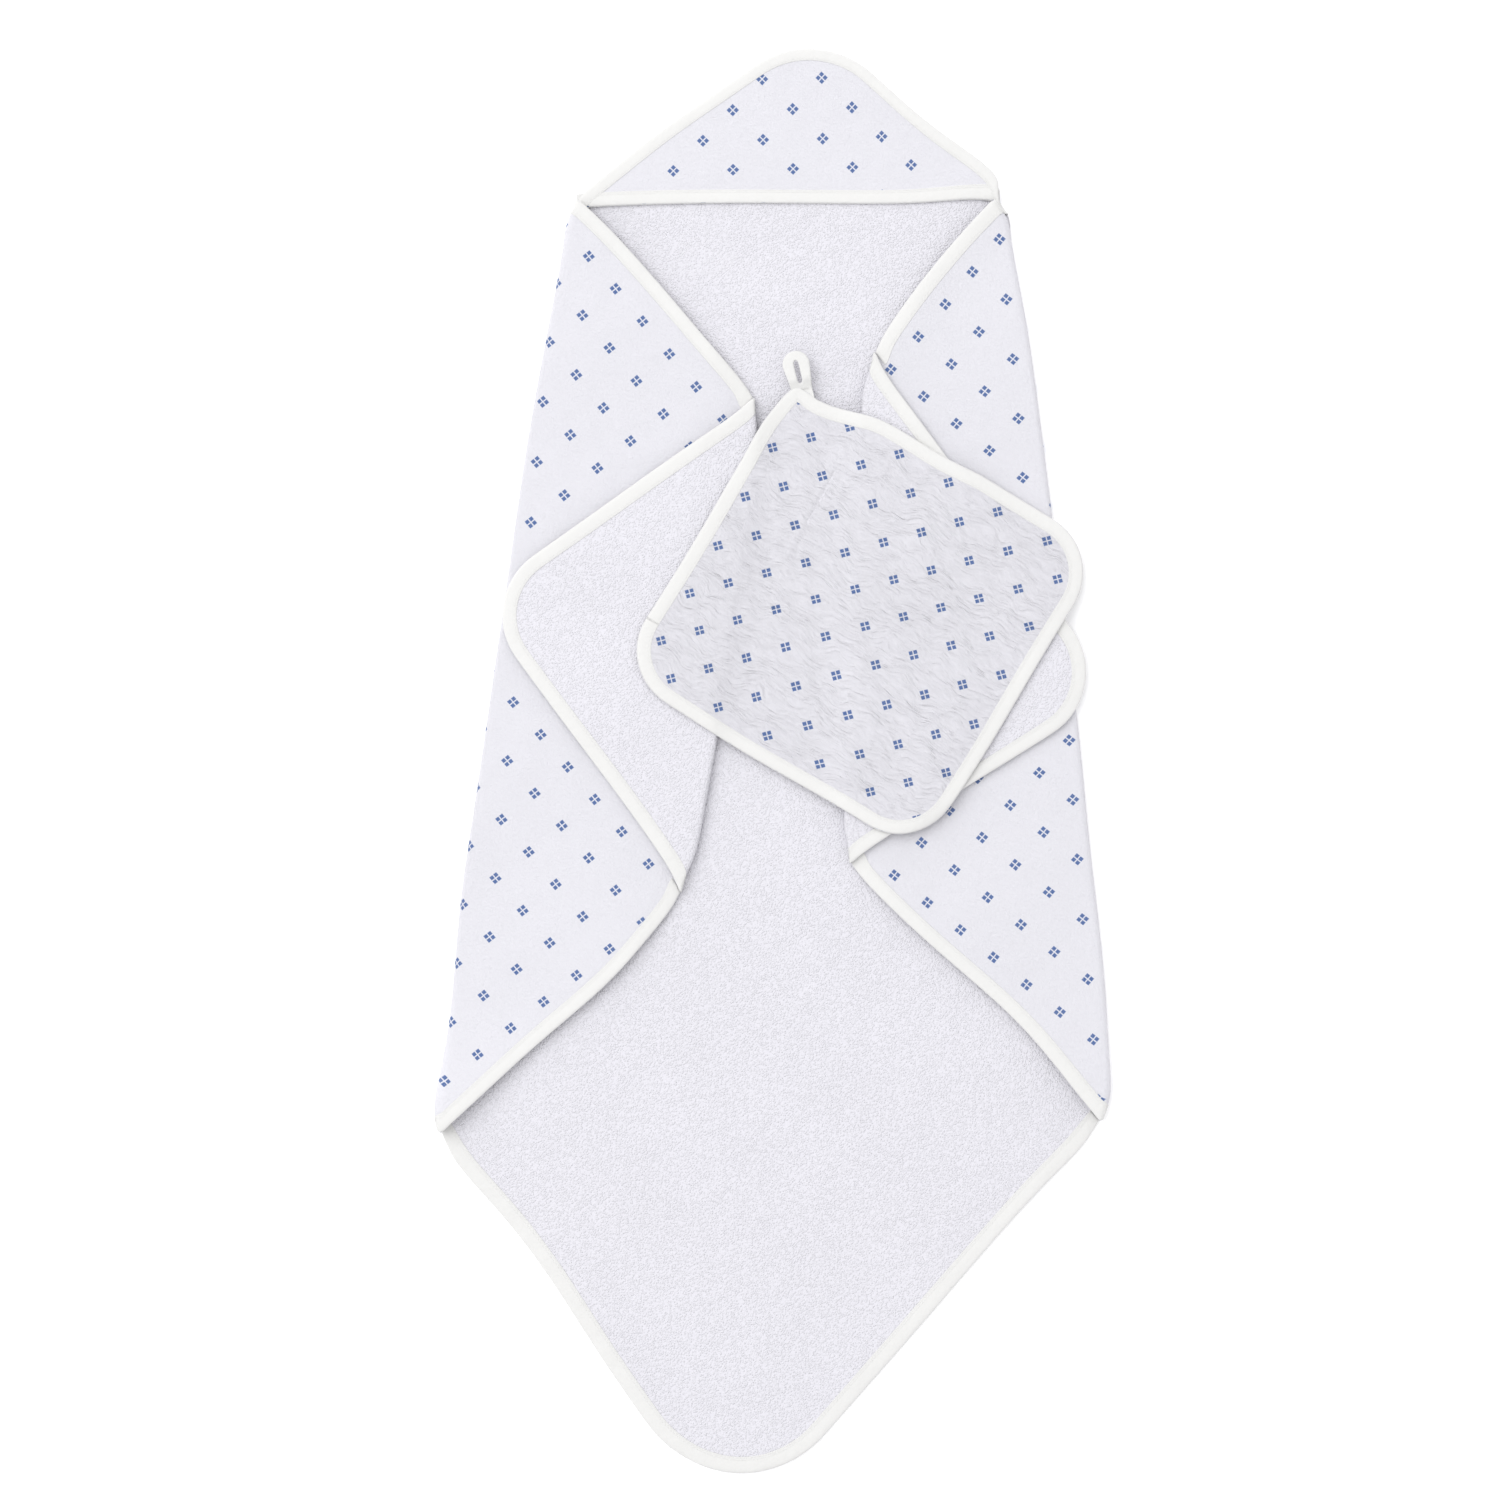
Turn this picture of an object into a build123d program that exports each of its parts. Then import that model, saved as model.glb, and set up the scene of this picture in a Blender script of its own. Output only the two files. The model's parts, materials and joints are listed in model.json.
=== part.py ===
from build123d import *
from math import asin, degrees
import os

# Hooded baby towel with its matching washcloth, laid flat on a table, in millimetres.
# +Z is up and +Y runs from the foot to the hood. The origin is under the middle of the towel.
# Each side corner is folded in over the middle, and its tip is folded back out again.
os.makedirs("parts", exist_ok=True)

# ---- overall size of the folded towel --------------------------------------
laid_length = 995.0          # rounded foot to rounded hood tip
laid_width = 471.0           # widest place, fold to fold
hood_width = 302.0           # between the two ends of the hood's hem
hood_depth = 99.5            # from the hood tip down to the ends of the hem
hood_shift = 9.8             # middle of the hem, right of the middle of the towel
hood_tip_shift = 24.0        # hood tip, right of the middle of the towel
hood_radius = 66.0           # rounded hood tip
foot_depth = 255.0           # from the widest place down to the foot
foot_shift = -24.0           # foot, left of the middle of the towel
foot_radius = 79.0           # rounded foot

# ---- cloth ------------------------------------------------------------------
terry = 2.0                  # looped pile side
muslin = 0.6                 # printed outer side
tape = 0.5                   # one thickness of binding tape
tape_width = 12.0            # binding on the edges
slope_tape_width = 8.0       # binding on the two slopes of the hood
hem_tape_width = 8.5         # binding on the hem of the hood
thread = 0.2                 # height that a row of stitches stands proud
thread_width = 0.7
stitch_inset = 1.2           # row of stitches, in from the tape's inner edge
layer_gap = 0.5              # between one folded layer and the next
fold_gap = 0.3               # between two panels that share a fold

# ---- folded side corners, (down the fold, in from the fold) --------------------
flap_start = 9.5             # where a flap's upper edge leaves its fold, below the hood corner
left_fold_top = (123.5, 151.0)
left_fold_bottom = (175.5, 149.5)      # first value is measured up from the widest place
left_tip = (168.0, 178.0)              # along the second fold, out from it
left_tip_radius = 52.0
right_fold_top = (100.3, 106.2)
right_fold_bottom = (191.4, 165.0)
right_tip = (227.7, 183.6)
right_tip_radius = 50.0

# ---- hood ------------------------------------------------------------------------
hood_crown = 14.0            # how far the empty hood stands open in the middle of its hem
tip_crown = 2.0              # the same, close to the hood's tip
arch_overhang = 6.0          # the arch runs on this far past the hood's edges

# ---- washcloth ---------------------------------------------------------------------
washcloth_side = 250.0
washcloth_place = (60.0, 105.0)
washcloth_turn = -31.4
washcloth_radius = 43.0
gauze = 0.5
washcloth_terry = 1.5
washcloth_tape = 0.4
loop_length = 29.0
loop_width = 19.0
loop_neck = 14.0
loop_neck_depth = 4.0
loop_slit_length = 16.0
loop_slit_width = 5.6
loop_thickness = 1.4
loop_gap = 2.4               # the loop's free play at its fold
bartack_length = 9.0
bartack_width = 1.6

# ---- heights ------------------------------------------------------------------------
panel = muslin + terry
sheet = panel + 2 * tape
flap_level = sheet + layer_gap
tip_level = flap_level + sheet + layer_gap
washcloth_level = tip_level + sheet + layer_gap
washcloth_sheet = gauze + washcloth_terry + 2 * washcloth_tape
outer_fold_height = sheet + layer_gap / 2
inner_fold_height = tip_level - layer_gap / 2
lining_level = tape + panel
hood_muslin_level = lining_level + terry
hood_top_level = hood_muslin_level + muslin
hood_ceiling = hood_top_level + hood_crown + sheet
past_edge = 2 * tape_width             # cutters run this far past a fold


def meet(start_a, way_a, start_b, way_b):
    """Where two straight lines cross."""
    across = way_a.X * way_b.Y - way_a.Y * way_b.X
    gap = start_b - start_a
    return start_a + way_a * ((gap.X * way_b.Y - gap.Y * way_b.X) / across)


def rounded_corner(before, after, centre, radius):
    """The sharp corner whose rounding has this centre and radius."""
    side_a = centre - before
    side_b = centre - after
    way_a = side_a.rotate(Axis.Z, -degrees(asin(radius / side_a.length)))
    way_b = side_b.rotate(Axis.Z, degrees(asin(radius / side_b.length)))
    return meet(before, way_a, after, way_b)


def beside(start, end, along, across):
    """A point measured along a line and then square to it, to the left of its direction."""
    way = (end - start).normalized()
    return start + way * along + Vector(-way.Y, way.X) * across


def inset(corners, distances):
    """The corners of an outline with each side moved in by its own distance."""
    following = corners[1:] + corners[:1]
    turning = sum(a.X * b.Y - a.Y * b.X for a, b in zip(corners, following))
    hand = 1 if turning > 0 else -1
    sides = []
    for start, end, distance in zip(corners, following, distances):
        way = (end - start).normalized()
        sides.append((start + Vector(-way.Y, way.X) * distance * hand, way))
    return [meet(*sides[i - 1], *sides[i]) for i in range(len(sides))]


def outline(corners, distances, level, rounding=()):
    """A flat outline at a height, with some of its corners rounded."""
    points = inset(corners, distances)
    with BuildSketch(Plane.XY.offset(level)) as shape:
        with BuildLine():
            Polyline(*points, close=True)
        make_face()
        for index, radius in rounding:
            fillet(shape.vertices().sort_by_distance(points[index])[0], radius=radius)
    return shape.sketch


def edge_band(corners, taped, first, last, level, height, rounding=(), folds=fold_gap / 2):
    """A band along the taped sides only, between two distances in from the edge."""
    outer = [first if side else folds for side in taped]
    inner = [last if side else -past_edge for side in taped]
    with BuildPart() as band:
        extrude(outline(corners, outer, level, [(i, r - first) for i, r in rounding]), amount=height)
        extrude(
            outline(corners, inner, level, [(i, r - last) for i, r in rounding]),
            amount=height,
            mode=Mode.SUBTRACT,
        )
    return band.part


def binding(corners, taped, width, leg, cloth, level, rounding=()):
    """Tape folded over an edge: a top leg, an outer wall and a bottom leg."""
    with BuildPart() as folded_tape:
        add(edge_band(corners, taped, 0, width, level, cloth + 2 * leg, rounding))
        add(
            edge_band(corners, taped, leg, width, level + leg, cloth, rounding, -past_edge),
            mode=Mode.SUBTRACT,
        )
    return folded_tape.part


def stitch_row(corners, taped, width, level, rounding=()):
    """One row of stitches close to the tape's inner edge."""
    row = width - stitch_inset
    return edge_band(corners, taped, row - thread_width, row, level, thread, rounding)


def cloth(corners, taped, leg, level, height, rounding=()):
    """One layer of a panel. It reaches the tape's outer wall, and stops short at a fold."""
    insets = [leg if side else fold_gap / 2 for side in taped]
    with BuildPart() as layer:
        extrude(outline(corners, insets, level, [(i, r - leg) for i, r in rounding]), amount=height)
    return layer.part


# ---- corners of the laid towel ------------------------------------------------------
top = laid_length / 2
widest_y = foot_depth - top
hem_end_y = top - hood_depth
hood_left = Vector(hood_shift - hood_width / 2, hem_end_y)
hood_right = Vector(hood_shift + hood_width / 2, hem_end_y)
side_left = Vector(-laid_width / 2, widest_y)
side_right = Vector(laid_width / 2, widest_y)
hood_centre = Vector(hood_tip_shift, top - hood_radius)
foot_centre = Vector(foot_shift, foot_radius - top)
hood_tip = rounded_corner(hood_right, hood_left, hood_centre, hood_radius)
foot_tip = rounded_corner(side_left, side_right, foot_centre, foot_radius)

left_start = beside(hood_left, side_left, flap_start, 0)
left_high = beside(hood_left, side_left, *left_fold_top)
left_low = beside(side_left, hood_left, left_fold_bottom[0], -left_fold_bottom[1])
left_corner = beside(left_high, left_low, left_tip[0], -left_tip[1])
right_start = beside(hood_right, side_right, flap_start, 0)
right_high = beside(hood_right, side_right, right_fold_top[0], -right_fold_top[1])
right_low = beside(side_right, hood_right, *right_fold_bottom)
right_corner = beside(right_high, right_low, *right_tip)

centre_corners = [hood_tip, hood_left, side_left, foot_tip, side_right, hood_right]
centre_taped = [True, False, True, True, False, True]
centre_rounding = [(0, hood_radius), (3, foot_radius)]
foot_side = [False, False, True, True, False, False]

# ---- middle of the towel ---------------------------------------------------------------
with BuildPart() as terry_centre_panel:
    add(cloth(centre_corners, centre_taped, tape, tape + muslin, terry, centre_rounding))
terry_centre_panel.part.label = "terry_centre_panel"
export_step(terry_centre_panel.part, "parts/terry_centre_panel.step")

with BuildPart() as muslin_centre_panel:
    add(cloth(centre_corners, centre_taped, tape, tape, muslin, centre_rounding))
    # inside the tape the cloth lies on the table
    inside = [tape_width if side else fold_gap / 2 for side in centre_taped]
    inside_rounding = [(i, r - tape_width) for i, r in centre_rounding]
    extrude(outline(centre_corners, inside, 0, inside_rounding), amount=tape)
muslin_centre_panel.part.label = "muslin_centre_panel"
export_step(muslin_centre_panel.part, "parts/muslin_centre_panel.step")

with BuildPart() as bottom_edge_binding:
    add(binding(centre_corners, foot_side, tape_width, tape, panel, 0, centre_rounding[1:]))
bottom_edge_binding.part.label = "bottom_edge_binding"
export_step(bottom_edge_binding.part, "parts/bottom_edge_binding.step")

with BuildPart() as bottom_edge_stitching:
    add(stitch_row(centre_corners, foot_side, tape_width, sheet, centre_rounding[1:]))
bottom_edge_stitching.part.label = "bottom_edge_stitching"
export_step(bottom_edge_stitching.part, "parts/bottom_edge_stitching.step")

# ---- hood: a lined pocket that is open along its hem ---------------------------------------
hem_front_y = hem_end_y - hem_tape_width / 2
hem_left = meet(hood_tip, hood_left - hood_tip, Vector(0, hem_front_y), Vector(1, 0))
hem_right = meet(hood_tip, hood_right - hood_tip, Vector(0, hem_front_y), Vector(1, 0))
hood_corners = [hood_tip, hem_left, hem_right]
arch_front_y = hem_front_y - arch_overhang
between_folds = outline(centre_corners, [-past_edge if side else fold_gap / 2 for side in centre_taped], 0)


def hood_plan(slope, front, level):
    """The hood's outline, in from its slopes and back from its front edge."""
    return outline(hood_corners, [slope, front, slope], level, [(0, hood_radius - slope)])


def arch_section(y, crown, level):
    """Cross-section of what lies under the arched hood, up to a given layer."""
    reach = (hood_tip.Y - y) / (hood_tip.Y - hem_front_y)
    left = hood_tip.X + (hem_left.X - hood_tip.X) * reach - arch_overhang
    right = hood_tip.X + (hem_right.X - hood_tip.X) * reach + arch_overhang
    with BuildSketch(Plane.XZ.offset(-y)) as section:
        with BuildLine():
            ThreePointArc((left, level), ((left + right) / 2, level + crown), (right, level))
            Polyline((right, level), (right, 0), (left, 0), (left, level))
        make_face()
    return section.sketch


def under_arch(level, plan):
    """All that lies under one layer of the hood, inside an outline, up from the outline's height."""
    with BuildPart() as block:
        loft([arch_section(arch_front_y, hood_crown, level), arch_section(top, tip_crown, level)])
        extrude(plan, amount=hood_ceiling, mode=Mode.INTERSECT)
        extrude(between_folds, amount=hood_ceiling, mode=Mode.INTERSECT)
    return block.part


def hood_layer(low, high, slope, front):
    """One layer of the arched hood, between two levels."""
    with BuildPart() as layer:
        add(under_arch(high, hood_plan(slope, front, 0)))
        add(under_arch(low, hood_plan(slope - tape, front - tape, 0)), mode=Mode.SUBTRACT)
    return layer.part


with BuildPart() as hood_terry_lining:
    add(hood_layer(lining_level, hood_muslin_level, tape, tape))
hood_terry_lining.part.label = "hood_terry_lining"
export_step(hood_terry_lining.part, "parts/hood_terry_lining.step")

with BuildPart() as hood_muslin:
    add(hood_layer(hood_muslin_level, hood_top_level, tape, tape))
hood_muslin.part.label = "hood_muslin"
export_step(hood_muslin.part, "parts/hood_muslin.step")

with BuildPart() as hood_hem_binding:
    add(hood_layer(lining_level - tape, hood_top_level + tape, slope_tape_width, 0))
    extrude(hood_plan(0, hem_tape_width, 0), amount=hood_ceiling, mode=Mode.SUBTRACT)
    add(hood_layer(lining_level, hood_top_level, tape, tape), mode=Mode.SUBTRACT)
hood_hem_binding.part.label = "hood_hem_binding"
export_step(hood_hem_binding.part, "parts/hood_hem_binding.step")

with BuildPart() as hood_hem_stitching:
    hem_row = hem_tape_width - stitch_inset
    row_top = hood_top_level + tape + thread
    add(hood_layer(hood_top_level + tape, row_top, slope_tape_width, hem_row - thread_width))
    extrude(hood_plan(0, hem_row, 0), amount=hood_ceiling, mode=Mode.SUBTRACT)
hood_hem_stitching.part.label = "hood_hem_stitching"
export_step(hood_hem_stitching.part, "parts/hood_hem_stitching.step")

with BuildPart() as hood_edge_binding:
    add(under_arch(hood_top_level + tape, hood_plan(0, 0, 0)))
    extrude(hood_plan(slope_tape_width, -past_edge, 0), amount=hood_ceiling, mode=Mode.SUBTRACT)
    add(under_arch(hood_top_level, hood_plan(tape, -tape, tape)), mode=Mode.SUBTRACT)
hood_edge_binding.part.label = "hood_edge_binding"
export_step(hood_edge_binding.part, "parts/hood_edge_binding.step")

with BuildPart() as hood_edge_stitching:
    slope_row = slope_tape_width - stitch_inset
    add(hood_layer(hood_top_level + tape, row_top, slope_row - thread_width, 0))
    extrude(hood_plan(slope_row, -past_edge, 0), amount=hood_ceiling, mode=Mode.SUBTRACT)
hood_edge_stitching.part.label = "hood_edge_stitching"
export_step(hood_edge_stitching.part, "parts/hood_edge_stitching.step")

# ---- side corners: a flap folded in, print up, and its tip folded back, terry up ------------
flap_upper = [False, False, False, True]
flap_lower = [False, True, False, False]
flap_taped = [False, True, False, True]
tip_taped = [True, True, False]
left_flap = [left_start, side_left, left_low, left_high]
right_flap = [right_start, side_right, right_low, right_high]
left_tip_outline = [left_high, left_corner, left_low]
right_tip_outline = [right_high, right_corner, right_low]

for side, flap, tip, tip_radius in (
    ("left", left_flap, left_tip_outline, left_tip_radius),
    ("right", right_flap, right_tip_outline, right_tip_radius),
):
    tip_rounding = [(1, tip_radius)]

    with BuildPart() as terry_flap:
        add(cloth(flap, flap_taped, tape, flap_level + tape, terry))
    terry_flap.part.label = f"{side}_terry_flap"
    export_step(terry_flap.part, f"parts/{side}_terry_flap.step")

    with BuildPart() as muslin_flap:
        add(cloth(flap, flap_taped, tape, flap_level + tape + terry, muslin))
    muslin_flap.part.label = f"{side}_muslin_flap"
    export_step(muslin_flap.part, f"parts/{side}_muslin_flap.step")

    with BuildPart() as flap_upper_binding:
        add(binding(flap, flap_upper, tape_width, tape, panel, flap_level))
    flap_upper_binding.part.label = f"{side}_flap_upper_binding"
    export_step(flap_upper_binding.part, f"parts/{side}_flap_upper_binding.step")

    with BuildPart() as flap_lower_binding:
        add(binding(flap, flap_lower, tape_width, tape, panel, flap_level))
    flap_lower_binding.part.label = f"{side}_flap_lower_binding"
    export_step(flap_lower_binding.part, f"parts/{side}_flap_lower_binding.step")

    with BuildPart() as flap_stitching:
        add(stitch_row(flap, flap_upper, tape_width, flap_level + sheet))
        add(stitch_row(flap, flap_lower, tape_width, flap_level + sheet))
    flap_stitching.part.label = f"{side}_flap_stitching"
    export_step(flap_stitching.part, f"parts/{side}_flap_stitching.step")

    with BuildPart() as muslin_tip:
        add(cloth(tip, tip_taped, tape, tip_level + tape, muslin, tip_rounding))
    muslin_tip.part.label = f"{side}_muslin_tip"
    export_step(muslin_tip.part, f"parts/{side}_muslin_tip.step")

    with BuildPart() as terry_tip:
        add(cloth(tip, tip_taped, tape, tip_level + tape + muslin, terry, tip_rounding))
    terry_tip.part.label = f"{side}_terry_tip"
    export_step(terry_tip.part, f"parts/{side}_terry_tip.step")

    with BuildPart() as tip_binding:
        add(binding(tip, tip_taped, tape_width, tape, panel, tip_level, tip_rounding))
    tip_binding.part.label = f"{side}_tip_binding"
    export_step(tip_binding.part, f"parts/{side}_tip_binding.step")

    with BuildPart() as tip_stitching:
        add(stitch_row(tip, tip_taped, tape_width, tip_level + sheet, tip_rounding))
    tip_stitching.part.label = f"{side}_tip_stitching"
    export_step(tip_stitching.part, f"parts/{side}_tip_stitching.step")

# ---- washcloth, lying loose on the towel -----------------------------------------------------
washcloth_centre = Vector(*washcloth_place)
half_side = washcloth_side / 2
washcloth_corners = [
    washcloth_centre + Vector(x, y).rotate(Axis.Z, washcloth_turn)
    for x, y in (
        (half_side, half_side), (-half_side, half_side), (-half_side, -half_side), (half_side, -half_side)
    )
]
washcloth_taped = [True, True, True, True]
washcloth_rounding = [(i, washcloth_radius) for i in range(len(washcloth_corners))]
washcloth_cloth = gauze + washcloth_terry
back_level = washcloth_level + washcloth_tape
front_level = back_level + washcloth_terry

with BuildPart() as washcloth_back:
    add(
        cloth(
            washcloth_corners, washcloth_taped, washcloth_tape,
            back_level, washcloth_terry, washcloth_rounding,
        )
    )
washcloth_back.part.label = "washcloth_back"
export_step(washcloth_back.part, "parts/washcloth_back.step")

with BuildPart() as washcloth_front:
    add(cloth(washcloth_corners, washcloth_taped, washcloth_tape, front_level, gauze, washcloth_rounding))
washcloth_front.part.label = "washcloth_front"
export_step(washcloth_front.part, "parts/washcloth_front.step")

with BuildPart() as washcloth_binding:
    add(
        binding(
            washcloth_corners,
            washcloth_taped,
            tape_width,
            washcloth_tape,
            washcloth_cloth,
            washcloth_level,
            washcloth_rounding,
        )
    )
washcloth_binding.part.label = "washcloth_binding"
export_step(washcloth_binding.part, "parts/washcloth_binding.step")

with BuildPart() as washcloth_stitching:
    stitch_level = washcloth_level + washcloth_sheet
    add(stitch_row(washcloth_corners, washcloth_taped, tape_width, stitch_level, washcloth_rounding))
washcloth_stitching.part.label = "washcloth_stitching"
export_step(washcloth_stitching.part, "parts/washcloth_stitching.step")

# ---- hanging loop at the washcloth's top corner -------------------------------------------------
loop_corner = washcloth_corners[1]
loop_way = (loop_corner - washcloth_centre).normalized()
corner_loss = washcloth_radius * (2 ** 0.5 - 1)          # a right angle's rounding
corner_edge = loop_corner - loop_way * corner_loss
loop_height = washcloth_level + washcloth_sheet / 2
loop_hinge = corner_edge + loop_way * (loop_gap / 2)
loop_root = corner_edge + loop_way * loop_gap
loop_side = Vector(loop_way.Y, -loop_way.X)
loop_bottom = Vector(loop_root.X, loop_root.Y, loop_height - loop_thickness / 2)
loop_plane = Plane(origin=loop_bottom, x_dir=loop_side, z_dir=(0, 0, 1))
slit_middle = loop_length - (loop_width - loop_slit_width) / 2 - loop_slit_length / 2

with BuildPart() as hanging_loop:
    with BuildSketch(loop_plane):
        with Locations((0, loop_length - loop_width / 2)):
            Circle(loop_width / 2)
        with Locations((0, loop_neck_depth / 2)):
            Rectangle(loop_neck, loop_neck_depth)
        make_hull()
        with Locations((0, slit_middle)):
            SlotOverall(loop_slit_length, loop_slit_width, rotation=90, mode=Mode.SUBTRACT)
    extrude(amount=loop_thickness)
hanging_loop.part.label = "hanging_loop"
export_step(hanging_loop.part, "parts/hanging_loop.step")

with BuildPart() as loop_bartack:
    with BuildSketch(loop_plane.offset(loop_thickness)):
        with Locations((0, loop_neck_depth / 2)):
            Rectangle(bartack_length, bartack_width)
    extrude(amount=thread)
loop_bartack.part.label = "loop_bartack"
export_step(loop_bartack.part, "parts/loop_bartack.step")
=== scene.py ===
import json
from math import pi, radians

import bmesh
import bpy
import numpy as np
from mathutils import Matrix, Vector
from mathutils.geometry import convex_hull_2d, delaunay_2d_cdt


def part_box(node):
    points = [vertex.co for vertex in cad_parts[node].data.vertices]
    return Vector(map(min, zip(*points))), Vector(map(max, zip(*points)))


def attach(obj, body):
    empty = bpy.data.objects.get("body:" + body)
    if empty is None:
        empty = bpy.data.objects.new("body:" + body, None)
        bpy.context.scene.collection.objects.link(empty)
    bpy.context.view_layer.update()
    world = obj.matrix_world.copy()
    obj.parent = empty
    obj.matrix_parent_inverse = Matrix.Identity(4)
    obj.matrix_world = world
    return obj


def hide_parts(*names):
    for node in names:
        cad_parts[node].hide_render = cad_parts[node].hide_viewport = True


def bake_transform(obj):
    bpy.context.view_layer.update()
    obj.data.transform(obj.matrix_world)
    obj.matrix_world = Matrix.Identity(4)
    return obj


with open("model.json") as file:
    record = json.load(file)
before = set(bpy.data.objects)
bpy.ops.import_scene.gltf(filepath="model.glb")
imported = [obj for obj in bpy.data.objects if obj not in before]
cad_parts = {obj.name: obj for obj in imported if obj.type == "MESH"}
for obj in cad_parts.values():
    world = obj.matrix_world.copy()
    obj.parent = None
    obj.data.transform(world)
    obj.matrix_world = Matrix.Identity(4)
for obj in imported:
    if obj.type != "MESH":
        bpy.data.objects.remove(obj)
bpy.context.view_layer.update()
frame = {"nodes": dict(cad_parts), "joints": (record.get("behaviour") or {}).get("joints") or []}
mm = 0.001
bpy.ops.object.select_all(action="DESELECT")

# thicknesses shared by every bound edge, from the table upwards
cloth = {"tape": 0.5 * mm, "muslin": 0.6 * mm, "terry": 2.0 * mm, "gauze": 0.5 * mm, "washBack": 1.5 * mm}
cloth["panel"] = cloth["muslin"] + cloth["terry"]
cloth["sheet"] = cloth["panel"] + 2 * cloth["tape"]
cloth["washSheet"] = cloth["gauze"] + cloth["washBack"] + 0.8 * mm


# reading the frame

def planHull(node):
    # the outline of a flat node from above, anticlockwise
    points = [Vector(v.co.xy) for v in frame["nodes"][node].data.vertices]
    return np.array([points[i] for i in convex_hull_2d(points)])


def jointLine(name):
    # a point of the hinge line and its direction in plan
    joint = next(j for j in frame["joints"] if j["name"] == name)
    return np.array(joint["pos_m"][:2]), np.array(joint["axis"][:2]), joint["pos_m"][2]


def unit(v):
    return v / np.linalg.norm(v)


# small smooth fields that keep cloth from being dead flat

def waves(points, wavelength, seed):
    # a sum of a few sines in fixed directions, about -1 to 1
    rng = np.random.default_rng(seed)
    total = np.zeros(len(points))
    for _ in range(7):
        turn, phase, stretch = rng.uniform(0, 2 * pi), rng.uniform(0, 2 * pi), rng.uniform(0.75, 1.4)
        way = np.array([np.cos(turn), np.sin(turn)]) * 2 * pi / (wavelength * stretch)
        total += np.sin(points @ way + phase)
    return total / 3.2


def bump(distance, width):
    return np.exp(-((distance / width) ** 2))


def smooth(x, low, high):
    t = np.clip((x - low) / (high - low), 0, 1)
    return t * t * (3 - 2 * t)


def insidePolygon(points, polygon):
    # counts the outline's crossings to the right of each point
    odd = np.zeros(len(points), bool)
    for a, b in zip(polygon, np.roll(polygon, -1, 0)):
        spans = (a[1] > points[:, 1]) != (b[1] > points[:, 1])
        rise = b[1] - a[1] if b[1] != a[1] else 1.0
        odd ^= spans & (points[:, 0] < a[0] + (points[:, 1] - a[1]) * (b[0] - a[0]) / rise)
    return odd


def edgeDistance(points, polygon):
    nearest = np.full(len(points), 1.0)
    for a, b in zip(polygon, np.roll(polygon, -1, 0)):
        length = np.linalg.norm(b - a)
        if length > 1e-7:
            way = (b - a) / length
            along = ((points - a) @ way).clip(0, length)
            nearest = np.minimum(nearest, np.linalg.norm(points - a - along[:, None] * way, axis=1))
    return nearest


# fold lines and lifts
# Every layer has a height above the one below it, and small lifts that stack with it.

folds = {
    "left": {"outer": "left_flap_fold", "inner": "left_tip_fold",
             "bulge": 2.0 * mm, "footLift": 5.0 * mm},
    "right": {"outer": "right_flap_fold", "inner": "right_tip_fold",
              "bulge": 4.5 * mm, "footLift": 5.0 * mm},
}
lay = {"gap": 0.5 * mm, "flap": 4.1 * mm, "tip": 8.2 * mm, "wash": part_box("washcloth_binding")[0][2]}
roll = {"radius": cloth["sheet"] + lay["gap"] / 2, "lead": 50 * mm, "sole": 0.35 * mm}
roll["length"] = pi * roll["radius"]

for side, fold in folds.items():
    flapHull = planHull(side + "_terry_flap")
    for name, middle in (("outer", flapHull.mean(0)), ("inner", planHull(side + "_terry_tip").mean(0))):
        point, along, _ = jointLine(fold[name])
        inward = np.array([-along[1], along[0]])
        inward *= np.sign((middle - point) @ inward)
        fold[name + "Line"] = {"point": point, "along": along, "inward": inward}
    line = fold["outerLine"]
    reach = (flapHull - line["point"]) @ line["along"]
    onFold = np.abs((flapHull - line["point"]) @ line["inward"]) < mm
    fold["ends"] = (reach[onFold].min(), reach[onFold].max())
    corners = flapHull[onFold]
    fold["flapHull"] = flapHull
    fold["head"], fold["foot"] = corners[np.argmax(corners[:, 1])], corners[np.argmin(corners[:, 1])]


def across(line, points):
    return (points - line["point"]) @ line["inward"]


def foldCorner(fold, low):
    # where the second fold reaches the flap's edge, the upper or the lower of the two
    hull = fold["flapHull"]
    far = hull[np.abs(across(fold["innerLine"], hull)) < mm]
    return far[np.argmin(far[:, 1])] if low else far[np.argmax(far[:, 1])]


for fold in folds.values():
    fold["upper"], fold["lower"] = foldCorner(fold, False), foldCorner(fold, True)


def bulge(fold, points):
    # a fold bows outwards a little in the middle of its length
    low, high = fold["ends"]
    share = ((points - fold["outerLine"]["point"]) @ fold["outerLine"]["along"] - low) / (high - low)
    return fold["bulge"] * np.sin(pi * np.clip(share, 0, 1)) ** 0.7


def baseLift(points):
    # the middle of the towel, almost flat on the table and flat at the folds
    calm = np.ones(len(points))
    for fold in folds.values():
        calm *= smooth(across(fold["outerLine"], points), 0, 60 * mm)
    return 0.55 * mm * calm * (1 + waves(points, 230 * mm, 3)).clip(0, 2)


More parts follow.
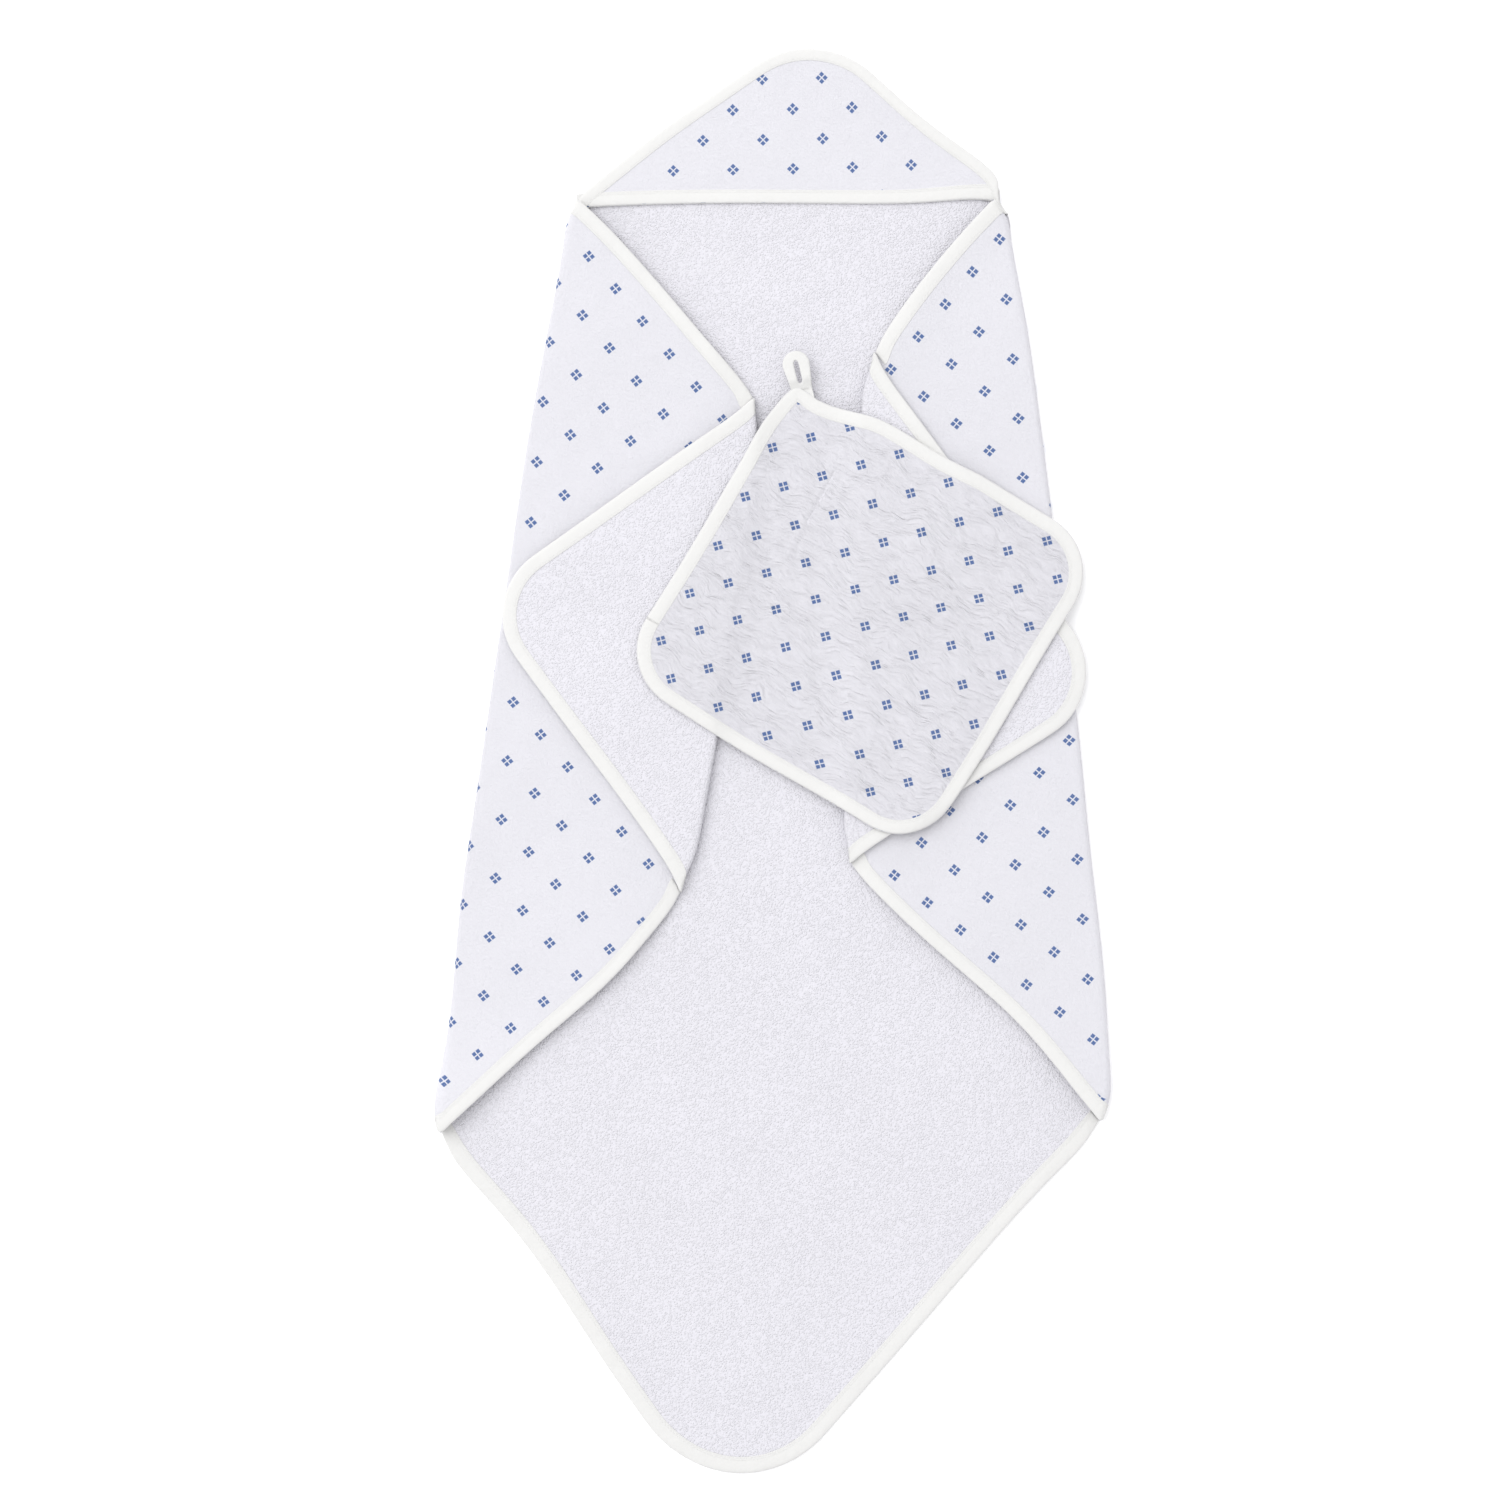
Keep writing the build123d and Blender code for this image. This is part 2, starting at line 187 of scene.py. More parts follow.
def flapLift(side, points):
    fold = folds[side]
    # its free edges stand off the towel a little
    rise = sum(bump(edgeDistance(points, np.array([fold[end], fold[corner]])), 20 * mm)
               for end, corner in (("head", "upper"), ("foot", "lower")))
    rise = 2.6 * mm * rise * smooth(across(fold["innerLine"], points), 2 * mm, 40 * mm)
    # open like a tent at the foot corner, a little at the head, and pressed at the second fold
    foot = fold["footLift"] * bump(np.linalg.norm(points - fold["foot"], axis=1), 62 * mm)
    head = 2.2 * mm * bump(np.linalg.norm(points - fold["head"], axis=1), 50 * mm)
    calm = smooth(across(fold["innerLine"], points), 0, 45 * mm)
    seed = 11 if side == "left" else 12
    soft = (0.7 * mm * (1 + waves(points, 120 * mm, seed)).clip(0, 2)
            * smooth(across(fold["outerLine"], points), -5 * mm, 30 * mm))
    return baseLift(points) * 0.5 + foot + head + rise + calm * soft


def tipLift(side, points):
    fold = folds[side]
    seed = 21 if side == "left" else 22
    away = smooth(across(fold["innerLine"], points), 0, 40 * mm)
    soft = 0.8 * mm * (1 + waves(points, 110 * mm, seed)).clip(0, 2) * away
    droop = -1.5 * mm * smooth(-across(fold["outerLine"], points), -12 * mm, 26 * mm)
    return flapLift(side, points) + soft + droop


# charts: flat cloth coordinates to a place in space

def warp(points):
    # no edge of a laid towel is perfectly straight
    return np.stack([waves(points, 170 * mm, 41), waves(points, 170 * mm, 42)], 1) * 0.9 * mm


hood = {"level": 6.2 * mm, "crown": 2.6 * mm}
hoodHull = planHull("hood_muslin")
sides = np.roll(hoodHull, -1, 0) - hoodHull
longest = np.argsort(-np.linalg.norm(sides, axis=1))[:3]
hemSide = max(longest, key=lambda i: -abs(hoodHull[i][1] + hoodHull[(i + 1) % len(hoodHull)][1]
                                          - 2 * hoodHull[:, 1].min()))
slopes = [i for i in longest if i != hemSide]
gaps = np.column_stack([sides[slopes[0]], -sides[slopes[1]]])
reachUp = np.linalg.solve(gaps, hoodHull[slopes[1]] - hoodHull[slopes[0]])[0]
hood["tip"] = hoodHull[slopes[0]] + reachUp * sides[slopes[0]]
hood["hemLeft"], hood["hemRight"] = hoodHull[np.argmin(hoodHull[:, 0])], hoodHull[np.argmax(hoodHull[:, 0])]
hood["wide"] = 0.75 * np.linalg.norm(hood["hemRight"] - hood["hemLeft"])


def shareOf(a, b, share, out, width, away):
    # a soft pull of an edge: where along it, how far it goes out, and how wide the pull reaches
    way = unit(b - a)
    normal = np.array([-way[1], way[0]])
    normal *= np.sign((a - away) @ normal)
    return a + (b - a) * share, normal * out * mm, width * mm


def tipCentre(side, fold, corner):
    # the middle between the flap's edge and the tip's edge, some way from their shared corner
    tipHull = planHull(side + "_terry_tip")
    farthest = tipHull[np.argmax(across(fold["innerLine"], tipHull))]
    edge = unit((fold["head"] if corner == "upper" else fold["foot"]) - fold[corner])
    return fold[corner] + (edge + unit(farthest - fold[corner])) * 50 * mm


pulls = {"towel": [], "left": [], "right": [], "hood": []}
rounds = {"towel": [], "left": [], "right": [], "hood": []}
# how round the towel is at the head of each fold, and how far above the fold's end
headRound = {"left": (8.0 * mm, 0), "right": (11.0 * mm, 4.0 * mm)}
for side, fold in folds.items():
    centre = fold["flapHull"].mean(0)
    if side == "left":
        pulls["towel"].append((fold["foot"], np.array([-1.5, -17.0]) * mm, 72 * mm))
        pulls[side] += [shareOf(fold["foot"], fold["lower"], 0.36, 8.5, 70, centre),
                        shareOf(fold["foot"], fold["lower"], 0.66, 8.0, 58, centre)]
        pulls[side] += [shareOf(fold["head"], fold["upper"], 0.12, 7.5, 60, centre),
                        shareOf(fold["head"], fold["upper"], 0.5, 4.0, 55, centre),
                        shareOf(fold["upper"], fold["lower"], 0.62, 4.5, 85, centre)]
    else:
        pulls["towel"].append((fold["foot"], np.array([-2.5, -10.0]) * mm, 60 * mm))
        pulls[side] += [shareOf(fold["head"], fold["upper"], 0.15, 8.0, 55, centre),
                        shareOf(fold["head"], fold["upper"], 0.6, 4.5, 45, centre)]
    for corner in ("upper", "lower"):
        outward = unit(fold[corner] - tipCentre(side, fold, corner))
        rounds[side].append((fold[corner], outward, 9.5 * mm, 24 * mm))
    outside = -fold["outerLine"]["inward"]
    roundness, aboveEnd = headRound[side]
    headOut = unit(outside + np.array([0, 0.35]))
    headCorner = (fold["head"] + np.array([0, aboveEnd]), headOut, roundness, 15 * mm)
    rounds["towel"].append(headCorner)
    rounds["hood"].append(headCorner)
    footPlace = fold["foot"] + pulls["towel"][-1][1]
    rounds["towel"].append((footPlace, unit(outside * 0.8 + np.array([0, -0.35])), 9.5 * mm, 30 * mm))


def shaped(points, groups):
    # soft pulls, then corners made round
    moved = points.copy()
    for group in groups:
        for centre, vector, width in pulls[group]:
            moved += vector * bump(np.linalg.norm(points - centre, axis=1), width)[:, None]
    for group in groups:
        for apex, outward, size, width in rounds[group]:
            beside = np.array([-outward[1], outward[0]])
            q, c = (moved - apex) @ outward - 7.5 * mm, (moved - apex) @ beside
            reach = size * bump(c, width) * bump(q.clip(None, 0), 60 * mm)
            new = np.where(q < 0, -np.sqrt(q * q + reach * reach), q - reach)
            moved += (new - q)[:, None] * outward
    return moved + warp(moved)


def hoodShift(flat):
    # the hem hangs a little lower at its ends, and the right slope is fuller
    share = np.abs(flat[:, 0] - 10 * mm) / (150 * mm)
    drop = (3.6 + 2.6 * share ** 2) * mm * (1 - smooth(flat[:, 1] - hood["hemLeft"][1], 0, 55 * mm))
    out = 7.5 * mm * bump(np.linalg.norm(flat - hood["hemRight"] - np.array([-16, 14]) * mm, axis=1),
                          38 * mm)
    return np.column_stack([out, 0.7 * out - drop])


def placeBase(flat, depth):
    xy = flat + hoodShift(flat) * smooth(flat[:, 1] - hood["hemLeft"][1], -45 * mm, 0)[:, None]
    for fold in folds.values():
        line = fold["outerLine"]
        push = bulge(fold, flat) * np.exp(-across(line, flat).clip(0) / roll["lead"])
        xy -= push[:, None] * line["inward"]
    z = cloth["sheet"] + baseLift(flat) - depth + 0.16 * mm * waves(flat, 24 * mm, 5)
    return np.column_stack([shaped(xy, ["towel"]), z.clip(0)])


def placeFold(side, kind):
    # flat is (along the fold, round the fold and then across the panel), depth is down from the outside
    fold = folds[side]
    line = fold[kind + "Line"]
    if kind == "outer":
        bottom, sole = 0.0, roll["sole"]
        below, above = baseLift, lambda p: flapLift(side, p)
    else:
        bottom, sole = lay["flap"], 0.0
        below, above = lambda p: flapLift(side, p), lambda p: tipLift(side, p)

    def place(flat, depth):
        s, t = flat[:, 0], flat[:, 1]
        onLine = line["point"] + s[:, None] * line["along"]
        low = bottom + below(onLine) + sole
        radius = roll["radius"] + (above(onLine) - below(onLine) - sole) / 2
        turn = np.clip(t / roll["length"], 0, 1) * pi
        beyond = (t - roll["length"]).clip(0)
        push = bulge(fold, onLine) if kind == "outer" else 0.0 * s
        u = np.where(t < roll["length"], -(radius - depth) * np.sin(turn) - push,
                     beyond - push * np.exp(-beyond / roll["lead"]))
        xy = onLine + u[:, None] * line["inward"]
        inRoll = low + radius - (radius - depth) * np.cos(turn)
        fine = 0.16 * mm * waves(xy, 24 * mm, 6 if kind == "outer" else 7) * smooth(beyond, 0, 20 * mm)
        inPanel = bottom + 2 * roll["radius"] + above(xy) - depth + fine
        z = np.where(t < roll["length"], inRoll, inPanel)
        return np.column_stack([shaped(xy, ["towel", side]), z])
    return place


def stopShort(side, kind, outline):
    # the inside layer starts short of a fold by twice as much as the fold bows outwards there,
    # so that the two sides come edge to edge when opened
    line = folds[side][kind + "Line"]
    ring = resample(outline, 5 * mm)
    onLine = line["point"] + ring[:, :1] * line["along"]
    start = -(shaped(onLine, ["towel", side]) - onLine) @ line["inward"]
    if kind == "outer":
        start += 2 * bulge(folds[side], onLine) - (shaped(onLine, ["towel"]) - onLine) @ line["inward"]
    else:
        start *= 2
    onFold = ring[ring[:, 1] < roll["length"] + mm, 0]
    toEnd = np.minimum(ring[:, 0] - onFold.min(), onFold.max() - ring[:, 0])
    limit = roll["length"] + (start.clip(0) + 0.3 * mm) * smooth(toEnd, 0, 22 * mm)
    ring[:, 1] = np.maximum(ring[:, 1], limit)
    return ring


def hoodTop(points):
    # a shallow puff, highest at the middle of the hem and pressed flat at the slopes
    tip, hemLeft, hemRight = hood["tip"], hood["hemLeft"], hood["hemRight"]
    def offLine(a, b):
        way = unit(b - a)
        return np.abs((points - a) @ np.array([-way[1], way[0]]))
    toLeft, toRight = offLine(tip, hemLeft), offLine(tip, hemRight)
    total = toLeft + toRight
    puff = 4 * toLeft * toRight / total.clip(mm) ** 2
    grow = (total / hood["wide"]).clip(0, 1) ** 1.3
    dents = 1 + 0.16 * waves(points, 75 * mm, 31)
    return hood["level"] + hood["crown"] * puff * grow * dents


def placeHood(flat, depth):
    z = hoodTop(flat) - depth + 0.12 * mm * waves(flat, 22 * mm, 8)
    return np.column_stack([shaped(flat + hoodShift(flat), ["hood"]), z])


# meshing

def resample(points, step, closed=True):
    # points spaced along a line, its corners kept
    ends = np.vstack([points[1:], points[:1]]) if closed else points[1:]
    out = []
    for a, b in zip(points, ends):
        n = max(1, int(round(np.linalg.norm(b - a) / step)))
        out += [a + (b - a) * i / n for i in range(n)]
    if not closed:
        out.append(points[-1])
    return np.array(out)


def signedArea(polygon):
    x, y = polygon[:, 0], polygon[:, 1]
    return 0.5 * np.sum(x * np.roll(y, -1) - np.roll(x, -1) * y)


def fill(polygon, step, rows=()):
    # triangles inside an outline, with extra rows at some heights of its second coordinate
    if signedArea(polygon) < 0:
        polygon = polygon[::-1]
    edge = resample(polygon, step)
    low, high = polygon.min(0), polygon.max(0)
    grid = []
    for j, y in enumerate(np.arange(low[1], high[1], step * 0.866)):
        if not len(rows) or y > max(rows) + step * 0.6:
            grid += [(x + (j % 2) * step / 2, y) for x in np.arange(low[0], high[0], step)]
    for j, y in enumerate(rows):
        grid += [(x + (j % 2) * step / 2, y) for x in np.arange(low[0], high[0], step)]
    grid = np.array(grid)
    grid = grid[insidePolygon(grid, polygon)]
    points = np.vstack([edge, grid[edgeDistance(grid, polygon) > step * 0.4]])
    ring = list(range(len(edge)))
    flat, _, faces, *_ = delaunay_2d_cdt([Vector(p) for p in points], [], [ring], 1, 1e-7)
    return np.array([tuple(p) for p in flat]), np.array([tuple(f) for f in faces if len(f) == 3])


def newObject(name, verts, faces, uvs=None, smoothShade=True):
    mesh = bpy.data.meshes.new(name)
    mesh.from_pydata([tuple(v) for v in verts], [], faces)
    mesh.update()
    if uvs:
        loops = np.zeros(len(mesh.loops), np.int32)
        mesh.loops.foreach_get("vertex_index", loops)
        for uvName, values in uvs.items():
            layer = mesh.uv_layers.new(name=uvName)
            layer.data.foreach_set("uv", values[loops].astype(np.float32).ravel())
    shape = bmesh.new()
    shape.from_mesh(mesh)
    bmesh.ops.recalc_face_normals(shape, faces=shape.faces)
    shape.to_mesh(mesh)
    shape.free()
    if smoothShade:
        mesh.shade_smooth()
    piece = bpy.data.objects.new(name, mesh)
    bpy.context.scene.collection.objects.link(piece)
    return piece


def closedFaces(faces, count):
    # a sheet's upper and lower faces, and the rim that joins them
    sides = np.vstack([faces[:, [0, 1]], faces[:, [1, 2]], faces[:, [2, 0]]])
    both = {tuple(e) for e in sides}
    upper = [tuple(f) for f in faces]
    lower = [(f[2] + count, f[1] + count, f[0] + count) for f in faces]
    return upper + lower + [(b, a, a + count, b + count) for a, b in both if (b, a) not in both]


def thicknessAt(thickness, flat):
    return thickness(flat) if callable(thickness) else np.full(len(flat), thickness)


cuts = {}  # each sheet's flat width, length and area


def sheetPiece(name, polygon, step, place, top, bottom, prints=None, rows=()):
    # a closed thin sheet between two depths of a chart
    flat, faces = fill(polygon, step, rows)
    upper, lower = (place(flat, np.full(len(flat), depth)) for depth in (top, bottom))
    uvs = {"cloth": np.vstack([flat, flat])}
    if prints is not None:
        at = prints(flat)
        uvs["print"] = np.vstack([at, at])
    cuts[name] = (*(polygon.max(0) - polygon.min(0)), abs(signedArea(polygon)))
    return newObject(name, np.vstack([upper, lower]), closedFaces(faces, len(flat)), uvs)


# the folded tape's section: (share of its width, 0 from the outside or 1 from the inside, depth in mm)
tapeSection = [
    (1.0, 0, 0.44), (0.985, 0, 0.16), (0.955, 0, 0.1), (0.915, 0, 0.2), (0.86, 0, 0.03), (0.8, 0, 0.12),
    (0.7, 0, -0.02), (0.42, 0, -0.1), (0.2, 0, -0.02), (0.08, 0, 0.2), (0.02, 0, 0.7), (0.0, 0, 1.35),
    (0.0, 1, 1.35), (0.02, 1, 0.7), (0.08, 1, 0.2), (0.2, 1, 0.0), (0.42, 1, 0.0), (0.7, 1, 0.0),
    (0.86, 1, 0.03), (0.915, 1, 0.2), (0.955, 1, 0.1), (0.985, 1, 0.16), (1.0, 1, 0.44),
    (0.98, 1, 0.5), (0.1, 1, 0.5), (0.06, 1, 1.0), (0.06, 0, 1.0), (0.1, 0, 0.5), (0.98, 0, 0.5),
]


def easePath(path, closed, reach):
    # rounds the corners of an evenly spaced path over a few points
    for _ in range(reach):
        if closed:
            path = (np.roll(path, 1, 0) + 2 * path + np.roll(path, -1, 0)) / 4
        else:
            inner = (path[:-2] + 2 * path[1:-1] + path[2:]) / 4
            path = np.vstack([path[:1], inner, path[-1:]])
    return path


def pathFrame(path, closed, middle):
    # the direction that points into the panel at each point of its edge
    if closed:
        way = np.roll(path, -1, 0) - np.roll(path, 1, 0)
    else:
        way = np.gradient(path, axis=0)
    way /= np.linalg.norm(way, axis=1)[:, None]
    normal = np.column_stack([-way[:, 1], way[:, 0]])
    if np.sum((middle - path) * normal) < 0:
        normal = -normal
    return normal


def tapePiece(name, path, closed, middle, place, width, thickness, step=1.7 * mm, ease=3, flare=(0, 0)):
    # flare is what its width gains at its start and at its end
    path = easePath(resample(path, step, closed), closed, ease)
    normal = pathFrame(path, closed, middle)
    path = path - normal * cloth["tape"]
    run = np.concatenate([[0], np.cumsum(np.linalg.norm(np.diff(path, axis=0), axis=1))])
    wide = width + flare[0] * mm * bump(run, 20 * mm) + flare[1] * mm * bump(run[-1] - run, 9 * mm)
    rings = []
    for share, inner, depth in tapeSection:
        flat = path + normal * (share * wide)[:, None]
        thick = thicknessAt(thickness, flat)
        rings.append(place(flat, thick - depth * mm if inner else np.full(len(flat), depth * mm)))
    n, m = len(path), len(rings)
    verts = np.stack(rings, 1).reshape(-1, 3)
    last = n if closed else n - 1
    faces = [(i * m + k, i * m + (k + 1) % m, (i + 1) % n * m + (k + 1) % m, (i + 1) % n * m + k)
             for i in range(last) for k in range(m)]
    if not closed:
        faces += [tuple(range(m)), tuple(range((n - 1) * m + m - 1, (n - 1) * m - 1, -1))]
    cross = np.array([share * width + inner * 0.02 for share, inner, _ in tapeSection])
    uv = np.stack([np.repeat(run, m), np.tile(cross, n)], 1)
    piece = newObject(name, verts, faces, {"cloth": uv})
    return piece, (path, normal, closed)


# rows are (share of the tape's width, how deep they are sunk)
stitch = {"pitch": 3.1 * mm, "length": 2.3 * mm, "wide": 0.34 * mm, "high": 0.2 * mm,
          "rows": ((0.915, 0.13 * mm), (0.8, 0.05 * mm))}


def stitchPiece(name, runs, width, thickness, place):
    # rows of separate low stitches that follow the tape, on both of its sides
    verts, faces = [], []
    for path, normal, closed in runs:
        line = np.vstack([path, path[:1]]) if closed else path
        lineNormal = np.vstack([normal, normal[:1]]) if closed else normal
        run = np.concatenate([[0], np.cumsum(np.linalg.norm(np.diff(line, axis=0), axis=1))])
        for row, sunk in stitch["rows"]:
            for inner in (0, 1):
                centres = np.arange(stitch["pitch"], run[-1] - stitch["pitch"] * 0.6, stitch["pitch"])
                if row == stitch["rows"][1][0]:
                    centres = centres + stitch["pitch"] / 2
                ends = []
                for shift, sideways in ((-0.5, 0), (0.5, 0), (0, -0.5), (0, 0.5)):
                    at = (centres + shift * stitch["length"]).clip(0, run[-1])
                    spot = np.column_stack([np.interp(at, run, line[:, k]) for k in (0, 1)])
                    into = np.column_stack([np.interp(at, run, lineNormal[:, k]) for k in (0, 1)])
                    flat = spot + into * (row * width + sideways * stitch["wide"])
                    sink = np.full(len(flat), sunk)
                    ends.append(place(flat, thicknessAt(thickness, flat) - sink if inner else sink))
                tail, head, left, right = ends
                middle = (tail + head) / 2
                along, beside = (head - tail) / 2, (right - left) / 2
                up = np.cross(along, beside)
                up *= stitch["high"] / np.linalg.norm(up, axis=1)[:, None]
                for k in range(len(middle)):
                    base = len(verts)
                    c, a, b, h = middle[k], along[k], beside[k], up[k]
                    verts.append(c - a)
                    for share in (-0.62, 0.62):
                        for f, g in ((1, 0), (0, 1), (-1, 0), (0, -1)):
                            verts.append(c + a * share + b * f + h * g)
                    verts.append(c + a)
                    for q in range(4):
                        r = (q + 1) % 4
                        faces += [(base, base + 1 + r, base + 1 + q),
                                  (base + 1 + q, base + 1 + r, base + 5 + r, base + 5 + q),
                                  (base + 5 + q, base + 5 + r, base + 9)]
    return newObject(name, verts, faces)


def toChart(line, points):
    # folded plan to (along the fold, distance from the start of its roll)
    along = (points - line["point"]) @ line["along"]
    return np.column_stack([along, across(line, points) + roll["length"]])


def chartOutline(line, hull):
    # the outline in a fold's own coordinates, its fold side carried round the roll
    flat = toChart(line, hull)
    onFold = flat[:, 1] < roll["length"] + mm
    ends = flat[onFold]
    rest = flat[~onFold]
    low, high = ends[np.argmin(ends[:, 0])], ends[np.argmax(ends[:, 0])]
    rest = rest[np.argsort(np.arctan2(rest[:, 0] - (low[0] + high[0]) / 2, rest[:, 1] - roll["length"]))]
    length = roll["length"]
    return np.array([(high[0], length), (high[0], 0), (low[0], 0), (low[0], length), *rest])


# printed pattern: where its repeat starts and its two steps, in the cloth laid as seen
prints = {
    "left": {"start": (-128.45, 352.45), "a": (18.62, -22.54), "b": (-22.89, -18.41),
             "drift": (1.0, -6.2), "driftFrom": (-0.33, -0.03)},
    "right": {"start": (156.45, 364.35), "a": (-18.69, -22.68), "b": (22.89, -19.11),
              "drift": (-12.5, 4.0), "driftFrom": (-0.3, 0.08)},
    "hood": {"start": (-8.75, 476.35), "a": (21.2, -20.1), "b": (-20.3, -21.2)},
    "wash": {"start": (-39.55, 151.55), "a": (26.95, 7.0), "b": (7.35, -26.6)},
}


def repeatOf(name, plan):
    pattern = prints[name]
    steps = np.column_stack([pattern["a"], pattern["b"]]) * mm
    return np.linalg.solve(steps, (plan - np.array(pattern["start"]) * mm).T).T


def planOf(side, kind):
    # chart coordinates back to plan, as if the roll were laid out flat beside the fold
    line = folds[side][kind + "Line"]
    return lambda flat: (line["point"] + flat[:, :1] * line["along"]
                         + (flat[:, 1:] - roll["length"]) * line["inward"])


def keep(piece, material, body, nodes=()):
    piece.data.materials.append(bpy.data.materials[material])
    if body:
        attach(piece, body)
    if nodes:
        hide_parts(*nodes)
    return piece


# materials
colours = {
    "terry": (0.655, 0.647, 0.684), "muslin": (0.715, 0.709, 0.748), "gauze": (0.688, 0.68, 0.718),
    "tape": (0.675, 0.672, 0.658), "thread": (0.72, 0.717, 0.705), "floor": (0.97, 0.97, 0.97),
    "blue": (0.085, 0.16, 0.375), "blueDark": (0.058, 0.118, 0.30),
}
# squares are the gap and half side of a printed square, as shares of the print's repeat
look = {
    "printSoftness": 0.010, "squares": {"muslin": (0.058, 0.048), "gauze": (0.0605, 0.0505)},
    "muslinWeave": 2300.0, "muslinPebbles": 560.0, "terryLoop": 800.0,
    "gauzeTurn": radians(31), "gauzeRipple": 560.0, "gauzeWrinkle": 150.0,
}


def nodeGroup(name, inputs, outputs):
    group = bpy.data.node_groups.new(name, "ShaderNodeTree")
    for label, kind, value in inputs:
        socket = group.interface.new_socket(label, in_out="INPUT", socket_type="NodeSocket" + kind)
        if value is not None:
            socket.default_value = value
    for label, kind in outputs:
        group.interface.new_socket(label, in_out="OUTPUT", socket_type="NodeSocket" + kind)
    return group, group.nodes.new("NodeGroupInput"), group.nodes.new("NodeGroupOutput")


def calc(tree, operation, a, b=None, c=None, clamp=False):
    node = tree.nodes.new("ShaderNodeMath")
    node.operation, node.use_clamp = operation, clamp
    for i, value in enumerate((a, b, c)):
        if value is None:
            continue
        if isinstance(value, (int, float)):
            node.inputs[i].default_value = value
        else:
            tree.links.new(value, node.inputs[i])
    return node.outputs[0]


def ranged(tree, value, low, high, newLow, newHigh, kind="SMOOTHSTEP"):
    node = tree.nodes.new("ShaderNodeMapRange")
    node.interpolation_type = kind
    tree.links.new(value, node.inputs[0])
    for i, number in enumerate((low, high, newLow, newHigh)):
        if isinstance(number, (int, float)):
            node.inputs[i + 1].default_value = number
        else:
            tree.links.new(number, node.inputs[i + 1])
    return node.outputs[0]


def texture(tree, kind, vector, **values):
    node = tree.nodes.new("ShaderNodeTex" + kind)
    tree.links.new(vector, node.inputs["Vector"])
    for label, value in values.items():
        label = label.replace("_", " ")
        if label in node.inputs:
            node.inputs[label].default_value = value
        else:
            setattr(node, label.replace(" ", "_"), value)
    return node.outputs


def mixColour(tree, share, a, b):
    node = tree.nodes.new("ShaderNodeMix")
    node.data_type = "RGBA"
    for socket, value in ((node.inputs[0], share), (node.inputs[6], a), (node.inputs[7], b)):
        if isinstance(value, (int, float)):
            socket.default_value = value
        elif isinstance(value, tuple):
            socket.default_value = (*value, 1)
        else:
            tree.links.new(value, socket)
    return node.outputs[2]


def wavered(tree, vector, noise, amount):
    # a vector pushed about by a noise
    node = tree.nodes.new("ShaderNodeVectorMath")
    node.operation = "MULTIPLY_ADD"
    tree.links.new(noise, node.inputs[0])
    node.inputs[1].default_value = (amount, amount, 0)
    tree.links.new(vector, node.inputs[2])
    return node.outputs[0]


def scaledBy(tree, vector, share):
    node = tree.nodes.new("ShaderNodeVectorMath")
    node.operation = "SCALE"
    tree.links.new(vector, node.inputs[0])
    tree.links.new(share, node.inputs["Scale"])
    return node.outputs[0]


# four small squares in a two by two block, once in every repeat
fourSquares, start, end = nodeGroup(
    "fourSquares", [("Repeat", "Vector", None), ("Gap", "Float", 0.055), ("Half Side", "Float", 0.042)],
    [("Mask", "Float"), ("Core", "Float")])
blur = texture(fourSquares, "Noise", start.outputs["Repeat"], Scale=60.0, Detail=2.0)
shift = wavered(fourSquares, start.outputs["Repeat"], blur["Color"], 0.012)
split = fourSquares.nodes.new("ShaderNodeSeparateXYZ")
fourSquares.links.new(shift, split.inputs[0])
distances = []
for axis in (0, 1):
    whole = calc(fourSquares, "FRACT", calc(fourSquares, "ADD", split.outputs[axis], 0.494))
    centred = calc(fourSquares, "ABSOLUTE", calc(fourSquares, "SUBTRACT", whole, 0.5))
    fromSquare = calc(fourSquares, "SUBTRACT", centred, start.outputs["Gap"])
    distances.append(calc(fourSquares, "ABSOLUTE", fromSquare))
nearest = calc(fourSquares, "SMOOTH_MAX", distances[0], distances[1], 0.012)
edgeGap = calc(fourSquares, "SUBTRACT", start.outputs["Half Side"], nearest)
mask = ranged(fourSquares, edgeGap, -look["printSoftness"] / 2, look["printSoftness"], 0, 1)
fourSquares.links.new(mask, end.inputs["Mask"])
fourSquares.links.new(ranged(fourSquares, edgeGap, 0.004, 0.026, 0, 1), end.inputs["Core"])

# a plain weave of fine crossing threads, with thicker and thinner yarns
weave, start, end = nodeGroup(
    "weave", [("Cloth", "Vector", None), ("Threads", "Float", 2000.0), ("Unevenness", "Float", 0.5)],
    [("Height", "Float")])
wander = texture(weave, "Noise", start.outputs["Cloth"], Scale=300.0, Detail=2.0)
push = wavered(weave, start.outputs["Cloth"], wander["Color"], 0.0004)
parts = weave.nodes.new("ShaderNodeSeparateXYZ")
weave.links.new(push, parts.inputs[0])
threads = []
for k in (0, 1):
    perMetre = calc(weave, "MULTIPLY", start.outputs["Threads"], 2 * pi)
    threads.append(calc(weave, "SINE", calc(weave, "MULTIPLY", parts.outputs[k], perMetre)))
crossing = calc(weave, "MULTIPLY", threads[0], threads[1])
slub = texture(weave, "Noise", start.outputs["Cloth"], Scale=900.0, Detail=3.0)
thicker = calc(weave, "SUBTRACT", slub["Fac"], 0.5)
slubShare = calc(weave, "MULTIPLY", start.outputs["Unevenness"], 4.0)
weave.links.new(calc(weave, "MULTIPLY_ADD", thicker, slubShare, crossing), end.inputs["Height"])

